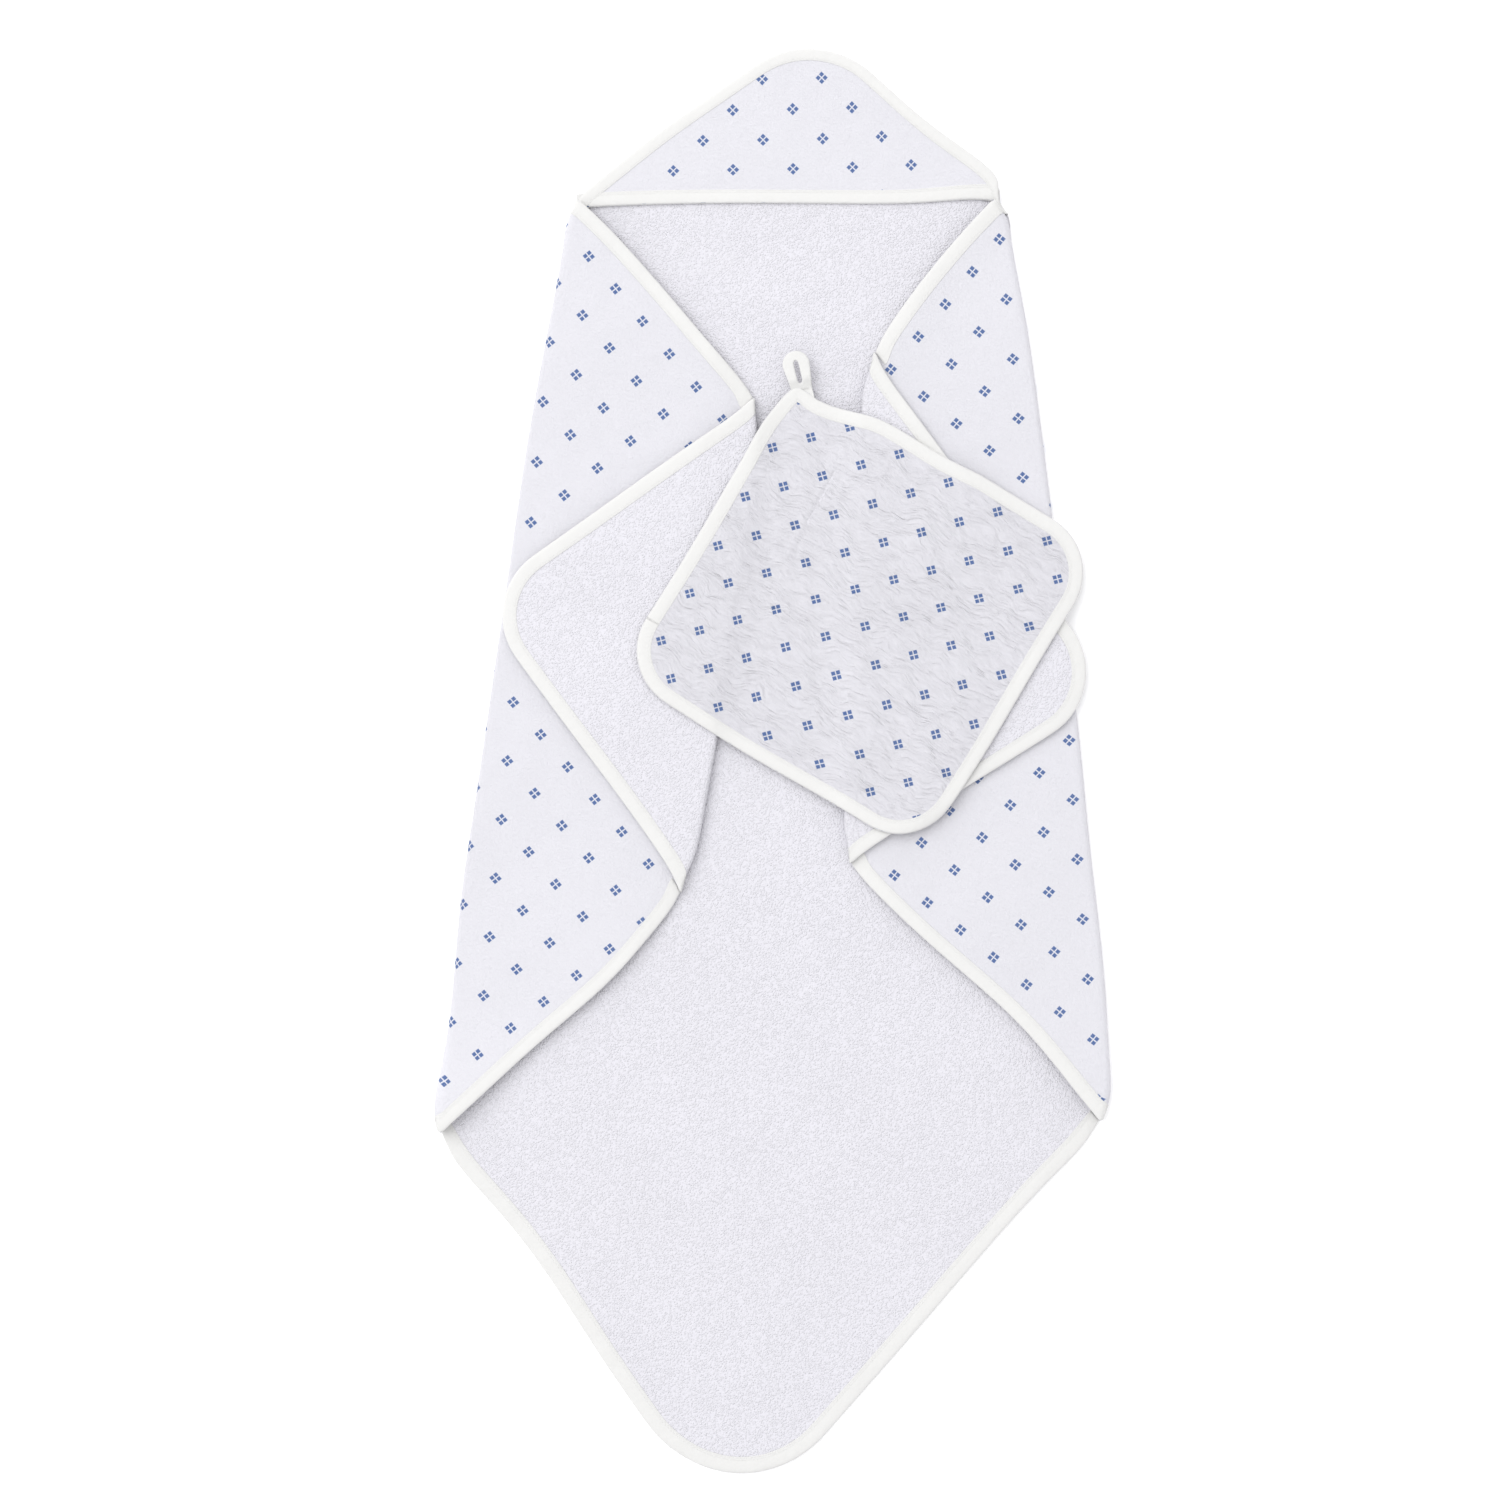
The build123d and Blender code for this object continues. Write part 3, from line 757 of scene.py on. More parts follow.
# loops of terry standing close together in soft clumps
pile, start, end = nodeGroup(
    "pile", [("Cloth", "Vector", None), ("Loops", "Float", 700.0), ("Clumps", "Float", 0.5)],
    [("Height", "Float"), ("HollowShade", "Float")])
drift = texture(pile, "Noise", start.outputs["Cloth"], Scale=260.0, Detail=2.0)
sway = wavered(pile, start.outputs["Cloth"], drift["Color"], 0.0016)
loops = texture(pile, "Voronoi", sway, feature="SMOOTH_F1", Scale=700.0, Smoothness=0.45)
pile.links.new(start.outputs["Loops"], loops["Distance"].node.inputs["Scale"])
loopTop = ranged(pile, loops["Distance"], 0.0, 0.75, 1.0, 0.0)
clump = texture(pile, "Noise", start.outputs["Cloth"], Scale=190.0, Detail=4.0, Roughness=0.6)
clumpShare = calc(pile, "MULTIPLY", calc(pile, "SUBTRACT", clump["Fac"], 0.5), start.outputs["Clumps"])
pile.links.new(calc(pile, "MULTIPLY_ADD", clumpShare, 3.0, loopTop), end.inputs["Height"])
# a mask for painted shade, highest in the hollows between the loops
pile.links.new(ranged(pile, loops["Distance"], 0.35, 0.8, 0.0, 1.0), end.inputs["HollowShade"])

# slow, faint change of tone over a cloth
tone, start, end = nodeGroup(
    "toneChange",
    [("Cloth", "Vector", None), ("Colour", "Color", (0.8, 0.8, 0.8, 1)), ("Amount", "Float", 0.05)],
    [("Colour", "Color")])
broad = texture(tone, "Noise", start.outputs["Cloth"], Scale=14.0, Detail=3.0)
fine = texture(tone, "Noise", start.outputs["Cloth"], Scale=420.0, Detail=3.0)
level = calc(tone, "ADD", calc(tone, "MULTIPLY", broad["Fac"], 0.5),
             calc(tone, "MULTIPLY", fine["Fac"], 0.5))
bright = calc(tone, "MULTIPLY_ADD", calc(tone, "SUBTRACT", level, 0.5),
              calc(tone, "MULTIPLY", start.outputs["Amount"], 2.0), 1.0)
tone.links.new(scaledBy(tone, start.outputs["Colour"], bright), end.inputs["Colour"])


def newMaterial(name, roughness, sheen=0.0):
    material = bpy.data.materials.new(name)
    material.use_nodes = True
    tree = material.node_tree
    shader = tree.nodes["Principled BSDF"]
    shader.inputs["Roughness"].default_value = roughness
    shader.inputs["Specular IOR Level"].default_value = 0.15
    shader.inputs["Sheen Weight"].default_value = sheen
    shader.inputs["Sheen Roughness"].default_value = 0.6
    return tree, shader


def uvNode(tree, name):
    node = tree.nodes.new("ShaderNodeUVMap")
    node.uv_map = name
    return node.outputs[0]


def placeGroup(tree, group, **values):
    node = tree.nodes.new("ShaderNodeGroup")
    node.node_tree = group
    for label, value in values.items():
        label = label.replace("_", " ")
        if isinstance(value, (int, float, tuple)):
            node.inputs[label].default_value = value if not isinstance(value, tuple) else (*value, 1)
        else:
            tree.links.new(value, node.inputs[label])
    return node.outputs


def addBump(tree, shader, heights):
    # heights are (value, metres, strength), from the broadest to the finest
    normal = None
    for value, distance, strength in heights:
        node = tree.nodes.new("ShaderNodeBump")
        node.inputs["Distance"].default_value = distance
        node.inputs["Strength"].default_value = strength
        tree.links.new(value, node.inputs["Height"])
        if normal:
            tree.links.new(normal, node.inputs["Normal"])
        normal = node.outputs[0]
    tree.links.new(normal, shader.inputs["Normal"])


def tinted(tree, place, colour, amount):
    return placeGroup(tree, tone, Cloth=place, Colour=colours[colour], Amount=amount)["Colour"]


def printedMaterial(name, colour):
    tree, shader = newMaterial(name, 0.9, 0.15)
    flat, repeat = uvNode(tree, "cloth"), uvNode(tree, "print")
    base = tinted(tree, flat, colour, 0.05)
    gap, half = look["squares"][colour]
    squares = placeGroup(tree, fourSquares, Repeat=repeat, Gap=gap, Half_Side=half)
    threadHeight = placeGroup(tree, weave, Cloth=flat, Threads=look["muslinWeave"], Unevenness=0.6)["Height"]
    soft = texture(tree, "Noise", flat, Scale=55.0, Detail=4.0, Roughness=0.55)
    pebbles = texture(tree, "Noise", flat, Scale=look["muslinPebbles"], Detail=2.0)
    heights = [(soft["Fac"], 0.0012, 0.55), (pebbles["Fac"], 0.0007, 0.7)]
    if colour == "gauze":
        # crinkles in long ripples that run one way
        turn = tree.nodes.new("ShaderNodeVectorRotate")
        turn.inputs["Angle"].default_value = look["gauzeTurn"]
        drift = texture(tree, "Noise", flat, Scale=42.0, Detail=1.5)
        tree.links.new(wavered(tree, flat, drift["Color"], 0.019), turn.inputs["Vector"])
        squash = tree.nodes.new("ShaderNodeMapping")
        squash.inputs["Scale"].default_value = (0.17, 1, 1)
        tree.links.new(turn.outputs[0], squash.inputs["Vector"])
        ripple = texture(tree, "Noise", squash.outputs[0], Scale=look["gauzeRipple"], Detail=1.5,
                         Roughness=0.4, Distortion=0.25)
        wrinkle = texture(tree, "Noise", squash.outputs[0], Scale=look["gauzeWrinkle"], Detail=3.0,
                          Distortion=0.8)
        heights += [(wrinkle["Fac"], 0.0022, 0.6), (ripple["Fac"], 0.0015, 1.0)]
        # painted shade: the colour is a little darker in the ripples' valleys
        valleyShade = ranged(tree, ripple["Fac"], 0.36, 0.62, 0.955, 1.01)
        base = scaledBy(tree, base, valleyShade)
    heights.append((threadHeight, 0.00012, 0.7))
    blue = mixColour(tree, squares["Core"], colours["blue"], colours["blueDark"])
    patchy = texture(tree, "Noise", flat, Scale=1500.0, Detail=3.0)
    ink = calc(tree, "MULTIPLY", squares["Mask"], ranged(tree, patchy["Fac"], 0.3, 0.62, 0.84, 1.0))
    tree.links.new(mixColour(tree, ink, base, blue), shader.inputs["Base Color"])
    addBump(tree, shader, heights)


tree, shader = newMaterial("terryCotton", 0.95, 0.25)
flat = uvNode(tree, "cloth")
loopsOut = placeGroup(tree, pile, Cloth=flat, Loops=look["terryLoop"], Clumps=0.35)
base = tinted(tree, flat, "terry", 0.06)
# painted shade: the hollows between the terry loops are darkened in the colour
shade = mixColour(tree, calc(tree, "MULTIPLY", loopsOut["HollowShade"], 0.10), base, (0.5, 0.48, 0.56))
tree.links.new(shade, shader.inputs["Base Color"])
addBump(tree, shader, [(loopsOut["Height"], 0.00060, 0.9)])

printedMaterial("printedMuslin", "muslin")
printedMaterial("printedGauze", "gauze")

tree, shader = newMaterial("cottonTape", 0.85, 0.2)
flat = uvNode(tree, "cloth")
tree.links.new(tinted(tree, flat, "tape", 0.03), shader.inputs["Base Color"])
ribs = placeGroup(tree, weave, Cloth=flat, Threads=1250.0, Unevenness=0.3)["Height"]
pucker = texture(tree, "Noise", flat, Scale=210.0, Detail=3.0)
addBump(tree, shader, [(pucker["Fac"], 0.0009, 0.6), (ribs, 0.00009, 0.5)])

tree, shader = newMaterial("sewingThread", 0.6)
place = tree.nodes.new("ShaderNodeTexCoord").outputs["Object"]
tree.links.new(tinted(tree, place, "thread", 0.1), shader.inputs["Base Color"])
twist = texture(tree, "Noise", place, Scale=2500.0, Detail=2.0)
addBump(tree, shader, [(twist["Fac"], 0.0001, 0.5)])

tree, shader = newMaterial("paleFloor", 0.9)
place = tree.nodes.new("ShaderNodeTexCoord").outputs["Object"]
tree.links.new(tinted(tree, place, "floor", 0.01), shader.inputs["Base Color"])
shader.inputs["Emission Color"].default_value = (1, 1, 1, 1)
shader.inputs["Emission Strength"].default_value = 0.08  # keeps the backdrop evenly white
print("materials made")

# towel, laid flat
bpy.ops.mesh.primitive_plane_add(size=8, location=(0, 0, -0.0002))
floor = bpy.context.object
floor.name = "floor"
bpy.ops.object.transform_apply(location=True, rotation=False, scale=False)
floor.data.materials.append(bpy.data.materials["paleFloor"])

# depths of a layer's two faces from the panel's outside, where the muslin or the terry is the outer one
layers = {"muslinOuter": (0.5 * mm, 1.1 * mm), "terryInner": (1.1 * mm, 3.1 * mm),
          "terryOuter": (0.5 * mm, 2.5 * mm), "muslinInner": (2.5 * mm, 3.1 * mm)}
terryHull = planHull("terry_centre_panel")
keep(sheetPiece("towelTerry", terryHull, 3.4 * mm, placeBase, *layers["terryOuter"]),
     "terryCotton", "root", ["terry_centre_panel"])


def undersidePrint(flat):
    # the underside shows the same repeat as the left flap, turned over at its fold
    line = folds["left"]["outerLine"]
    return repeatOf("left", flat - 2 * across(line, flat)[:, None] * line["inward"])


keep(sheetPiece("towelMuslin", planHull("muslin_centre_panel"), 6 * mm, placeBase,
                *layers["muslinInner"], undersidePrint),
     "printedMuslin", "root", ["muslin_centre_panel"])
print("towel middle made")

rollRows = roll["length"] * np.arange(1, 11) / 10
# heights at a fold for tapes and stitches, and then for cloth; they are read below, but nothing is bent with
# them
bend = {"outer": ((0, 0, 3.3 * mm), (0, 0, 4.05 * mm)), "inner": ((0, 0, 7.6 * mm), (0, 0, 8.2 * mm))}
softBend = {"outer": (0.7 * mm, 6.4 * mm), "inner": (6.7 * mm, 9.2 * mm)}
tape = {"width": 10 * mm, "footWidth": 11.5 * mm, "slopeWidth": 8.2 * mm, "hemWidth": 9.6 * mm,
        "hemThickness": 2.6 * mm}


def asPrinted(side, plan):
    # the print keeps its repeat as laid, with a slow drift down the flap
    def at(flat):
        spots = plan(flat)
        lower = smooth(-spots[:, 1], *prints[side]["driftFrom"])
        drift = lower[:, None] * np.array(prints[side]["drift"]) * mm
        return repeatOf(side, shaped(spots, ["towel", side]) - drift)
    return at


def boundEdge(name, node, body, path, closed, middle, place, width, thickness):
    # a tape along an edge, with its stitches
    piece, run = tapePiece(name + "Tape", path, closed, middle, place, width, thickness)
    keep(piece, "cottonTape", body, [node + "_binding"])
    keep(stitchPiece(name + "Stitches", [run], width, thickness, place),
         "sewingThread", body, [node + "_stitching"])


for side, fold in folds.items():
    outer, inner = fold["outerLine"], fold["innerLine"]
    fold["flapChart"], fold["tipChart"] = placeFold(side, "outer"), placeFold(side, "inner")
    fold["flapOutline"] = chartOutline(outer, planHull(side + "_muslin_flap"))
    fold["tipOutline"] = chartOutline(inner, planHull(side + "_terry_tip"))
    pastRoll = (stopShort(side, "outer", toChart(outer, planHull(side + "_terry_flap"))),
                stopShort(side, "inner", toChart(inner, planHull(side + "_muslin_tip"))))
    bodies = {"outer": ("root", side + "_flap"), "inner": (side + "_flap", side + "_tip")}

    flapMuslin = sheetPiece(side + "FlapMuslin", fold["flapOutline"], 3.2 * mm, fold["flapChart"],
                            *layers["muslinOuter"], asPrinted(side, planOf(side, "outer")), rollRows)
    keep(flapMuslin, "printedMuslin", None, [side + "_muslin_flap"])
    bendStart, bendEnd = softBend["outer"]
    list(bodies["outer"])
    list(outer["point"])
    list(outer["point"])
    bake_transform(flapMuslin)
    keep(sheetPiece(side + "FlapTerry", pastRoll[0], 4.5 * mm, fold["flapChart"], *layers["terryInner"]),
         "terryCotton", side + "_flap", [side + "_terry_flap"])
    tipTerry = sheetPiece(side + "TipTerry", fold["tipOutline"], 3.0 * mm, fold["tipChart"],
                          *layers["terryOuter"], rows=rollRows)
    keep(tipTerry, "terryCotton", None, [side + "_terry_tip"])
    bendStart, bendEnd = softBend["inner"]
    lean = inner["inward"] * 0.1 * (bendEnd - bendStart)
    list(bodies["inner"])
    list(inner["point"])
    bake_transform(tipTerry)
    keep(sheetPiece(side + "TipMuslin", pastRoll[1], 4.5 * mm, fold["tipChart"], *layers["muslinInner"],
                    asPrinted(side, planOf(side, "inner"))),
         "printedMuslin", side + "_tip", [side + "_muslin_tip"])

    # tapes: two edges of the flap and the whole edge of the tip, each from the start of its roll
    high, highStart, lowStart, low, *far = fold["flapOutline"]
    arms = {"Lower": [highStart, high, far[-1]], "Upper": [lowStart, low, far[0]]}
    if side == "right":
        arms = {"Lower": arms["Upper"], "Upper": arms["Lower"]}
    middle = fold["flapOutline"].mean(0)
    runs = []
    for arm, path in arms.items():
        piece, run = tapePiece(side + "Flap" + arm + "Tape", np.array(path), False, middle, fold["flapChart"],
                               tape["width"], cloth["sheet"], flare=(0, 4))
        keep(piece, "cottonTape", None, [side + "_flap_" + arm.lower() + "_binding"])
        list(bodies["outer"])
        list(bend["outer"])
        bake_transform(piece)
        runs.append(run)
    stitches = stitchPiece(side + "FlapStitches", runs, tape["width"], cloth["sheet"], fold["flapChart"])
    keep(stitches, "sewingThread", None, [side + "_flap_stitching"])
    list(bodies["outer"])
    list(bend["outer"])
    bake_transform(stitches)

    high, highStart, lowStart, low, *far = fold["tipOutline"]
    piece, run = tapePiece(side + "TipTape", np.array([lowStart, low, *far, high, highStart]), False,
                           fold["tipOutline"].mean(0), fold["tipChart"], tape["width"], cloth["sheet"],
                           flare=(2, 2))
    keep(piece, "cottonTape", None, [side + "_tip_binding"])
    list(bodies["inner"])
    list(bend["inner"])
    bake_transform(piece)
    stitches = stitchPiece(side + "TipStitches", [run], tape["width"], cloth["sheet"], fold["tipChart"])
    keep(stitches, "sewingThread", None, [side + "_tip_stitching"])
    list(bodies["inner"])
    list(bend["inner"])
    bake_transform(stitches)
    print(side, "flap and tip made")

# foot edge of the towel
footPath = terryHull[terryHull[:, 1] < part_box("bottom_edge_binding")[1][2] - 240 * mm]
footPath = footPath[np.argsort(footPath[:, 0])]
boundEdge("foot", "bottom_edge", "root", footPath, False, terryHull.mean(0), placeBase,
          tape["footWidth"], cloth["sheet"])

# hood
keep(sheetPiece("hoodMuslin", hoodHull, 3.2 * mm, placeHood, *layers["muslinOuter"],
                lambda flat: repeatOf("hood", flat + hoodShift(flat))),
     "printedMuslin", "root", ["hood_muslin"])
keep(sheetPiece("hoodLining", hoodHull, 4.5 * mm, placeHood, *layers["terryInner"]),
     "terryCotton", "root", ["hood_terry_lining"])
hoodMiddle = hoodHull.mean(0)
slopePath = hoodHull[hoodHull[:, 1] > hood["hemLeft"][1] - mm]
slopePath = slopePath[np.argsort(slopePath[:, 0])]
slopePath = np.vstack([slopePath[0] + folds["left"]["outerLine"]["along"] * 8 * mm, slopePath,
                       slopePath[-1] - folds["right"]["outerLine"]["along"] * 8 * mm])
boundEdge("hoodSlope", "hood_edge", "root", slopePath, False, hoodMiddle, placeHood,
          tape["slopeWidth"], hoodTop)
hemInset = np.array([1.5 * mm, 0])
hemPath = np.array([hood["hemLeft"] + hemInset, hood["hemRight"] - hemInset])
hemPath[:, 1] = hoodHull[:, 1].min()


def placeHem(flat, depth):
    # its ends go under the slope tape
    ends = np.minimum(flat[:, 0] - hemPath[0, 0], hemPath[1, 0] - flat[:, 0])
    return placeHood(flat, depth + 0.2 * mm + 0.5 * mm * bump(ends.clip(0), 9 * mm))


boundEdge("hoodHem", "hood_hem", "root", hemPath, False, hoodMiddle, placeHem,
          tape["hemWidth"], tape["hemThickness"])
print("foot edge and hood made")

# washcloth, draped over what lies under it
drape = {"cell": 2.5 * mm, "weight": 0.026 * mm, "rounds": 700, "sag": 4.0 * mm, "clear": 0.35 * mm}


def withTopCorner(hull):
    # the corner at the loop isn't round: its left edge runs straight up into the loop
    span = np.roll(hull, -1, 0) - hull
    sides = np.argsort(-np.linalg.norm(span, axis=1))[:4]
    sides = sorted(sides, key=lambda i: -(hull[i] + span[i] / 2)[1])[:2]
    left, right = sorted(sides, key=lambda i: (hull[i] + span[i] / 2)[0])
    grid = np.column_stack([span[left], -span[right]])
    corner = hull[left] + np.linalg.solve(grid, hull[right] - hull[left])[0] * span[left]
    alongRight = unit((hull[right] + span[right] / 2) - corner)
    alongLeft = unit((hull[left] + span[left] / 2) - corner)
    # distances from the sharp corner along an edge, and in from it, in millimetres
    onLeft = [(74, 0.2), (60, -0.6), (46, -0.6), (32, 0.8), (21, 2.4), (14, 5.2)]
    onRight = [(14.5, 13), (20, 14.2), (26, 14.3), (36, 12.7), (49, 9.1), (63, 5.0), (73, 3.6),
               (84, 3.4), (97, 3.6), (112, 3.9), (124, 3.5), (136, 2.2), (150, 0.6)]
    a = [corner + alongLeft * s * mm + alongRight * d * mm for s, d in onLeft]
    b = [corner + alongRight * s * mm + alongLeft * d * mm for s, d in onRight]
    reach = 76 * mm
    kept = [p for p in hull if (p - corner) @ alongRight > 152 * mm or (p - corner) @ alongLeft > reach]
    new = np.array(a + b + kept)
    middle = hull.mean(0)
    angle = np.arctan2(*(new - middle).T[::-1])
    return new[np.argsort(angle)]


washHull = withTopCorner(planHull("washcloth_back"))


def inside(points, hull, grow=0.0):
    if signedArea(hull) < 0:
        hull = hull[::-1]
    result = np.ones(len(points), bool)
    for a, b in zip(hull, np.roll(hull, -1, 0)):
        if np.linalg.norm(b - a) < 1e-6:
            continue
        way = unit(b - a)
        result &= (points - a) @ np.array([-way[1], way[0]]) > -grow
    return result


def supportHeight(points):
    height = cloth["sheet"] + baseLift(points)
    for side in folds:
        onFlap = inside(points, planHull(side + "_flap_stitching"), 3 * mm)
        height = np.where(onFlap, 2 * roll["radius"] + flapLift(side, points), height)
        onTip = inside(points, planHull(side + "_tip_binding"), 4 * mm)
        height = np.where(onTip, lay["flap"] + 2 * roll["radius"] + tipLift(side, points), height)
    return height


low, high = washHull.min(0) - 8 * mm, washHull.max(0) + 8 * mm
gridX, gridY = np.arange(low[0], high[0], drape["cell"]), np.arange(low[1], high[1], drape["cell"])
gridPoints = np.array([(x, y) for x in gridX for y in gridY])
floorUnder = np.maximum(supportHeight(gridPoints) + drape["clear"], lay["wash"] - drape["sag"])
floorUnder = floorUnder.reshape(len(gridX), len(gridY))
hang = floorUnder.copy()
for _ in range(drape["rounds"]):
    padded = np.pad(hang, 1, mode="edge")
    around = (padded[:-2, 1:-1] + padded[2:, 1:-1] + padded[1:-1, :-2] + padded[1:-1, 2:]) / 4
    hang = np.maximum(floorUnder, around - drape["weight"])
for _ in range(6):
    padded = np.pad(hang, 1, mode="edge")
    hang = (padded[:-2, 1:-1] + padded[2:, 1:-1] + padded[1:-1, :-2] + padded[1:-1, 2:] + 2 * hang) / 6
hang = np.maximum(hang, floorUnder - 0.25 * mm)


def onGrid(points):
    x = ((points[:, 0] - gridX[0]) / drape["cell"]).clip(0, len(gridX) - 1.001)
    y = ((points[:, 1] - gridY[0]) / drape["cell"]).clip(0, len(gridY) - 1.001)
    i, j = x.astype(int), y.astype(int)
    fx, fy = x - i, y - j
    return (hang[i, j] * (1 - fx) * (1 - fy) + hang[i + 1, j] * fx * (1 - fy)
            + hang[i, j + 1] * (1 - fx) * fy + hang[i + 1, j + 1] * fx * fy)


# soft creases pressed into the gauze: two ends, height and half width, in millimetres
creases = [
    ((41, 203), (9, 143), 0.6, 3.2), ((43, 202), (24, 168), -1.1, 1.9), ((24, 168), (11, 142), -0.7, 2.2),
    ((-70, 120), (-20, 96), 0.8, 7), ((95, 150), (122, 108), 0.9, 8), ((60, 60), (110, 30), 0.7, 7),
    ((20, 20), (46, -20), 0.8, 8), ((-30, 60), (10, 30), 0.6, 6),
]


def creaseHeight(points):
    total = np.zeros(len(points))
    for a, b, height, half in creases:
        a, b = np.array(a) * mm, np.array(b) * mm
        way, length = unit(b - a), np.linalg.norm(b - a)
        along = (points - a) @ way
        away = np.linalg.norm(points - a - along.clip(0, length)[:, None] * way, axis=1)
        total += height * mm * bump(away, half * mm)
    return total


def placeWash(flat, depth):
    edge = np.full(len(flat), 1.0)
    for a, b in zip(washHull, np.roll(washHull, -1, 0)):
        if np.linalg.norm(b - a) > 30 * mm:
            way = unit(b - a)
            edge = np.minimum(edge, np.abs((flat - a) @ np.array([-way[1], way[0]])))
    soft = smooth(edge, 0, 30 * mm)
    z = onGrid(flat) + cloth["washSheet"] - depth
    z += (creaseHeight(flat) * soft + 0.5 * mm * (1 + waves(flat, 60 * mm, 51)) * soft
          + 0.25 * mm * (1 + waves(flat, 90 * mm, 53)))
    return np.column_stack([flat + warp(flat) * 1.3, z])


keep(sheetPiece("washclothFront", washHull, 1.8 * mm, placeWash, 0.4 * mm, 0.9 * mm,
                lambda flat: repeatOf("wash", flat)),
     "printedGauze", "washcloth", ["washcloth_front"])
keep(sheetPiece("washclothBack", washHull, 4.5 * mm, placeWash, 0.9 * mm, 2.4 * mm),
     "terryCotton", "washcloth", ["washcloth_back"])
boundEdge("washcloth", "washcloth", "washcloth", washHull, True, washHull.mean(0), placeWash,
          tape["width"], cloth["washSheet"])
print("washcloth made")

# hanging loop, a flat strap with a slit
loop = {"edge": 0.9 * mm, "reach": 9 * mm, "step": 0.9 * mm, "slitShare": 0.6, "shift": (-1.8, -4.2)}
loopShape = bmesh.new()
loopShape.from_mesh(frame["nodes"]["hanging_loop"].data)
bmesh.ops.remove_doubles(loopShape, verts=loopShape.verts, dist=1e-6)
loopTopZ = max(v.co.z for v in loopShape.verts)
topFaces = [f for f in loopShape.faces if all(v.co.z > loopTopZ - 1e-5 for v in f.verts)]
rimEdges = [e for e in loopShape.edges if sum(f in topFaces for f in e.link_faces) == 1]
rings = []
while rimEdges:
    edge = rimEdges.pop()
    ring = [edge.verts[0], edge.verts[1]]
    while True:
        step = next((e for e in rimEdges if ring[-1] in e.verts), None)
        if step is None:
            break
        rimEdges.remove(step)
        ring.append(step.other_vert(ring[-1]))
    rings.append(np.array([tuple(v.co.xy) for v in ring[:-1]]))
loopShape.free()
rings.sort(key=lambda ring: -abs(signedArea(ring)))
rings = [ring + np.array(loop["shift"]) * mm for ring in rings]
slitMiddle = rings[1].mean(0)
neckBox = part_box("loop_bartack")
neckMiddle = (np.array(neckBox[0][:2]) + np.array(neckBox[1][:2])) / 2 + np.array(loop["shift"]) * mm
up = unit(slitMiddle - neckMiddle)
outerRing = resample(rings[0], loop["step"])
reachAlong = (outerRing - neckMiddle) @ up
outerRing = outerRing - np.outer(np.where(reachAlong < reachAlong.min() + 1.5 * mm, loop["reach"], 0), up)
acrossLoop = np.array([up[1], -up[0]])
slitRing = rings[1] - np.outer((rings[1] - slitMiddle) @ acrossLoop, acrossLoop) * (1 - loop["slitShare"])
slitRing = resample(slitRing, loop["step"])
span = outerRing.min(0), outerRing.max(0)
dots = np.array([(x, y) for x in np.arange(span[0][0], span[1][0], loop["step"])
                 for y in np.arange(span[0][1], span[1][1], loop["step"])])
walls = np.vstack([outerRing, slitRing])
near = np.linalg.norm(dots[:, None] - walls[None], axis=2).min(1)
points = np.vstack([walls, dots[near > 0.5 * loop["step"]]])
slitEdges = [(len(outerRing) + i, len(outerRing) + (i + 1) % len(slitRing)) for i in range(len(slitRing))]
outerOrder = list(range(len(outerRing)))
if signedArea(outerRing) < 0:
    outerOrder.reverse()
keepDots = insidePolygon(points, outerRing) & ~insidePolygon(points, slitRing)
keepDots[:len(walls)] = True
flat, _, faces, *_ = delaunay_2d_cdt([Vector(p) for p in points[keepDots]], slitEdges, [outerOrder], 1, 1e-7)
flat = np.array([tuple(p) for p in flat])
faces = np.array([tuple(f) for f in faces if len(f) == 3])
faces = faces[~insidePolygon(flat[faces].mean(1), slitRing)]
toEdge = np.linalg.norm(flat[:, None] - walls[None], axis=2).min(1)
half = (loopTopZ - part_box("hanging_loop")[0][2]) / 2
edgeRound = half * np.sqrt(1 - (1 - (toEdge / loop["edge"]).clip(0, 1)) ** 2)
edgeRound *= 1 - 0.22 * bump(toEdge - 2.1 * mm, 0.35 * mm)
tucked = onGrid(neckMiddle[None])[0] + cloth["washSheet"] / 2
pastNeck = (flat - neckMiddle) @ up
free = smooth(pastNeck, -1 * mm, 8 * mm)
level = (tucked + (loopTopZ - half - tucked) * free
         + 0.4 * mm * waves(flat, 30 * mm, 61) * smooth(pastNeck, 3 * mm, 12 * mm))
verts = np.vstack([np.column_stack([flat, level + edgeRound]), np.column_stack([flat, level - edgeRound])])
strap = newObject("hangingLoopStrap", verts, closedFaces(faces, len(flat)),
                  {"cloth": np.vstack([flat, flat])})
keep(strap, "cottonTape", None, ["hanging_loop"])
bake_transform(strap)

# bar tack across the neck: close zigzag threads
tack = {"threads": 17, "wide": 0.3 * mm, "high": 0.22 * mm, "reach": 4.3 * mm,
        "half": 0.75 * mm, "slant": 0.16 * mm}
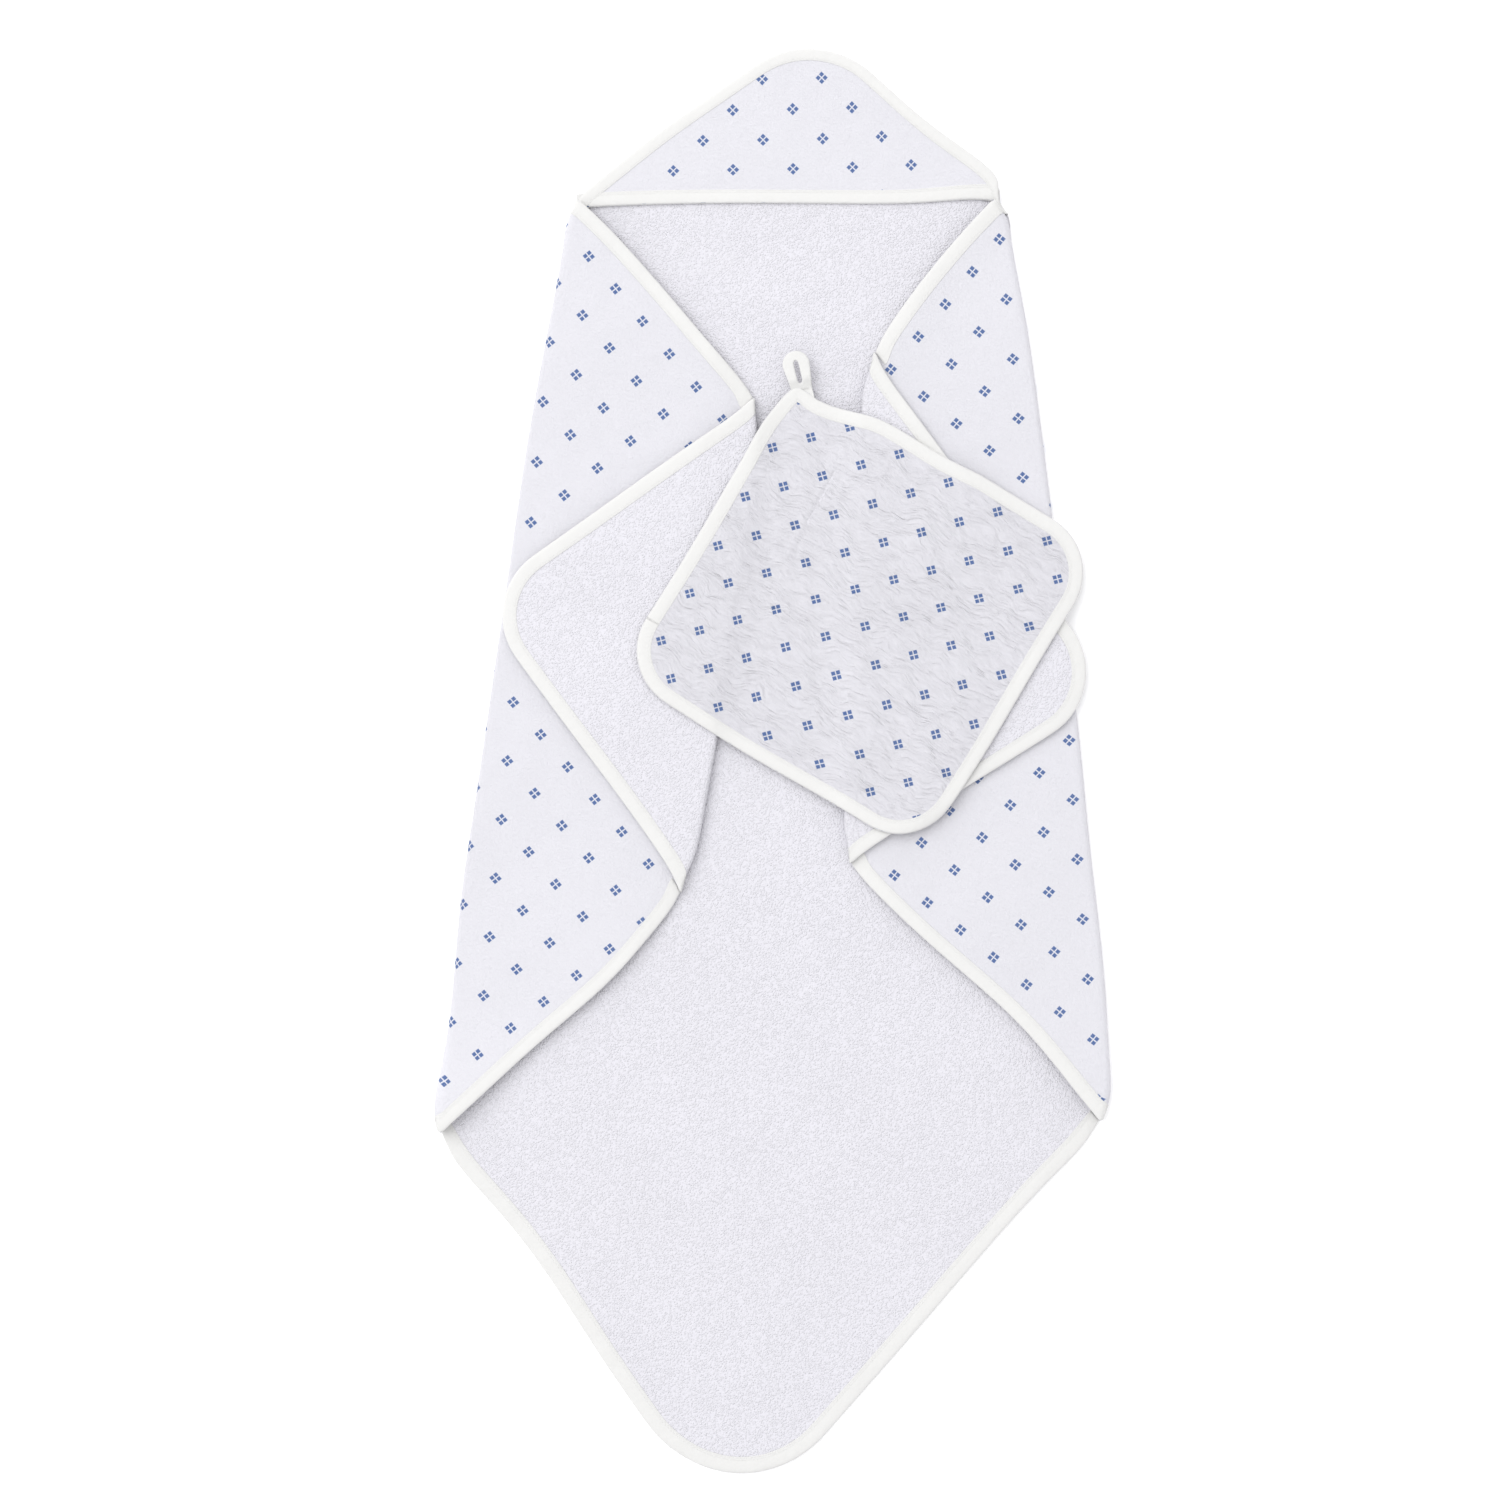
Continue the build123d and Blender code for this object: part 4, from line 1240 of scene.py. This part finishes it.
# one thread's points: along it, across it and up
threadPoints = ((-1, 0, 0), (-0.7, -1, 0), (-0.7, 0, 1), (-0.7, 1, 0), (0.7, -1, 0),
                (0.7, 0, 1), (0.7, 1, 0), (1, 0, 0), (-0.7, 0, -1), (0.7, 0, -1))
ringA, ringB = (1, 2, 3, 8), (4, 5, 6, 9)
verts, faces = [], []
z = onGrid(neckMiddle[None])[0] + cloth["washSheet"] + 0.02 * mm
for k in range(tack["threads"]):
    middle = neckMiddle + unit(acrossLoop) * tack["reach"] * (k / (tack["threads"] - 1) * 2 - 1)
    lean = up * tack["half"] + acrossLoop * (tack["slant"] if k % 2 else -tack["slant"])
    base = len(verts)
    for f, w, h in threadPoints:
        at = middle + lean * f + acrossLoop * w * tack["wide"] / 2
        verts.append((at[0], at[1], z + h * tack["high"] / 2))
    for q in range(4):
        r = (q + 1) % 4
        faces += [(base, base + ringA[r], base + ringA[q]),
                  (base + ringA[q], base + ringA[r], base + ringB[r], base + ringB[q]),
                  (base + ringB[q], base + ringB[r], base + 7)]
keep(newObject("loopBarTack", verts, faces), "sewingThread", "loop", ["loop_bartack"])
print("hanging loop made")


def declare(name):
    # a sheet of cloth: reads its flat width, length and area, and does nothing else with them
    wide, long, area = cuts[name]


declare("towelMuslin")
declare("towelTerry")
for side in folds:
    declare(side + "FlapTerry")
    declare(side + "FlapMuslin")
    declare(side + "TipMuslin")
    declare(side + "TipTerry")
declare("hoodLining")
declare("hoodMuslin")
declare("washclothBack")
declare("washclothFront")

# light and camera
lights = {"key": {"place": (-2.7, 2.5, 5.2), "size": 6.5, "power": 257}, "ambient": 1.0}
key = bpy.data.lights.new("softKey", "AREA")
key.shape, key.size, key.energy = "DISK", lights["key"]["size"], lights["key"]["power"]
keyLamp = bpy.data.objects.new("softKey", key)
keyLamp.location = lights["key"]["place"]
keyLamp.rotation_euler = Vector(lights["key"]["place"]).to_track_quat("Z", "Y").to_euler()
bpy.context.scene.collection.objects.link(keyLamp)
world = bpy.data.worlds.new("paleRoom")
world.use_nodes = True
sky = world.node_tree.nodes["Background"]
sky.inputs["Color"].default_value = (0.985, 0.985, 1.0, 1)
sky.inputs["Strength"].default_value = lights["ambient"]
bpy.context.scene.world = world
bpy.context.scene.view_settings.view_transform = "Standard"

view = {"middle": (-0.01645, 0.00805), "across": 1.05, "lens": 100, "sensor": 36}
camera = bpy.data.cameras.new("overhead")
camera.lens, camera.sensor_width = view["lens"], view["sensor"]
cameraRig = bpy.data.objects.new("overhead", camera)
cameraRig.location = (*view["middle"], view["across"] * view["lens"] / view["sensor"])
bpy.context.scene.collection.objects.link(cameraRig)
bpy.context.scene.camera = cameraRig
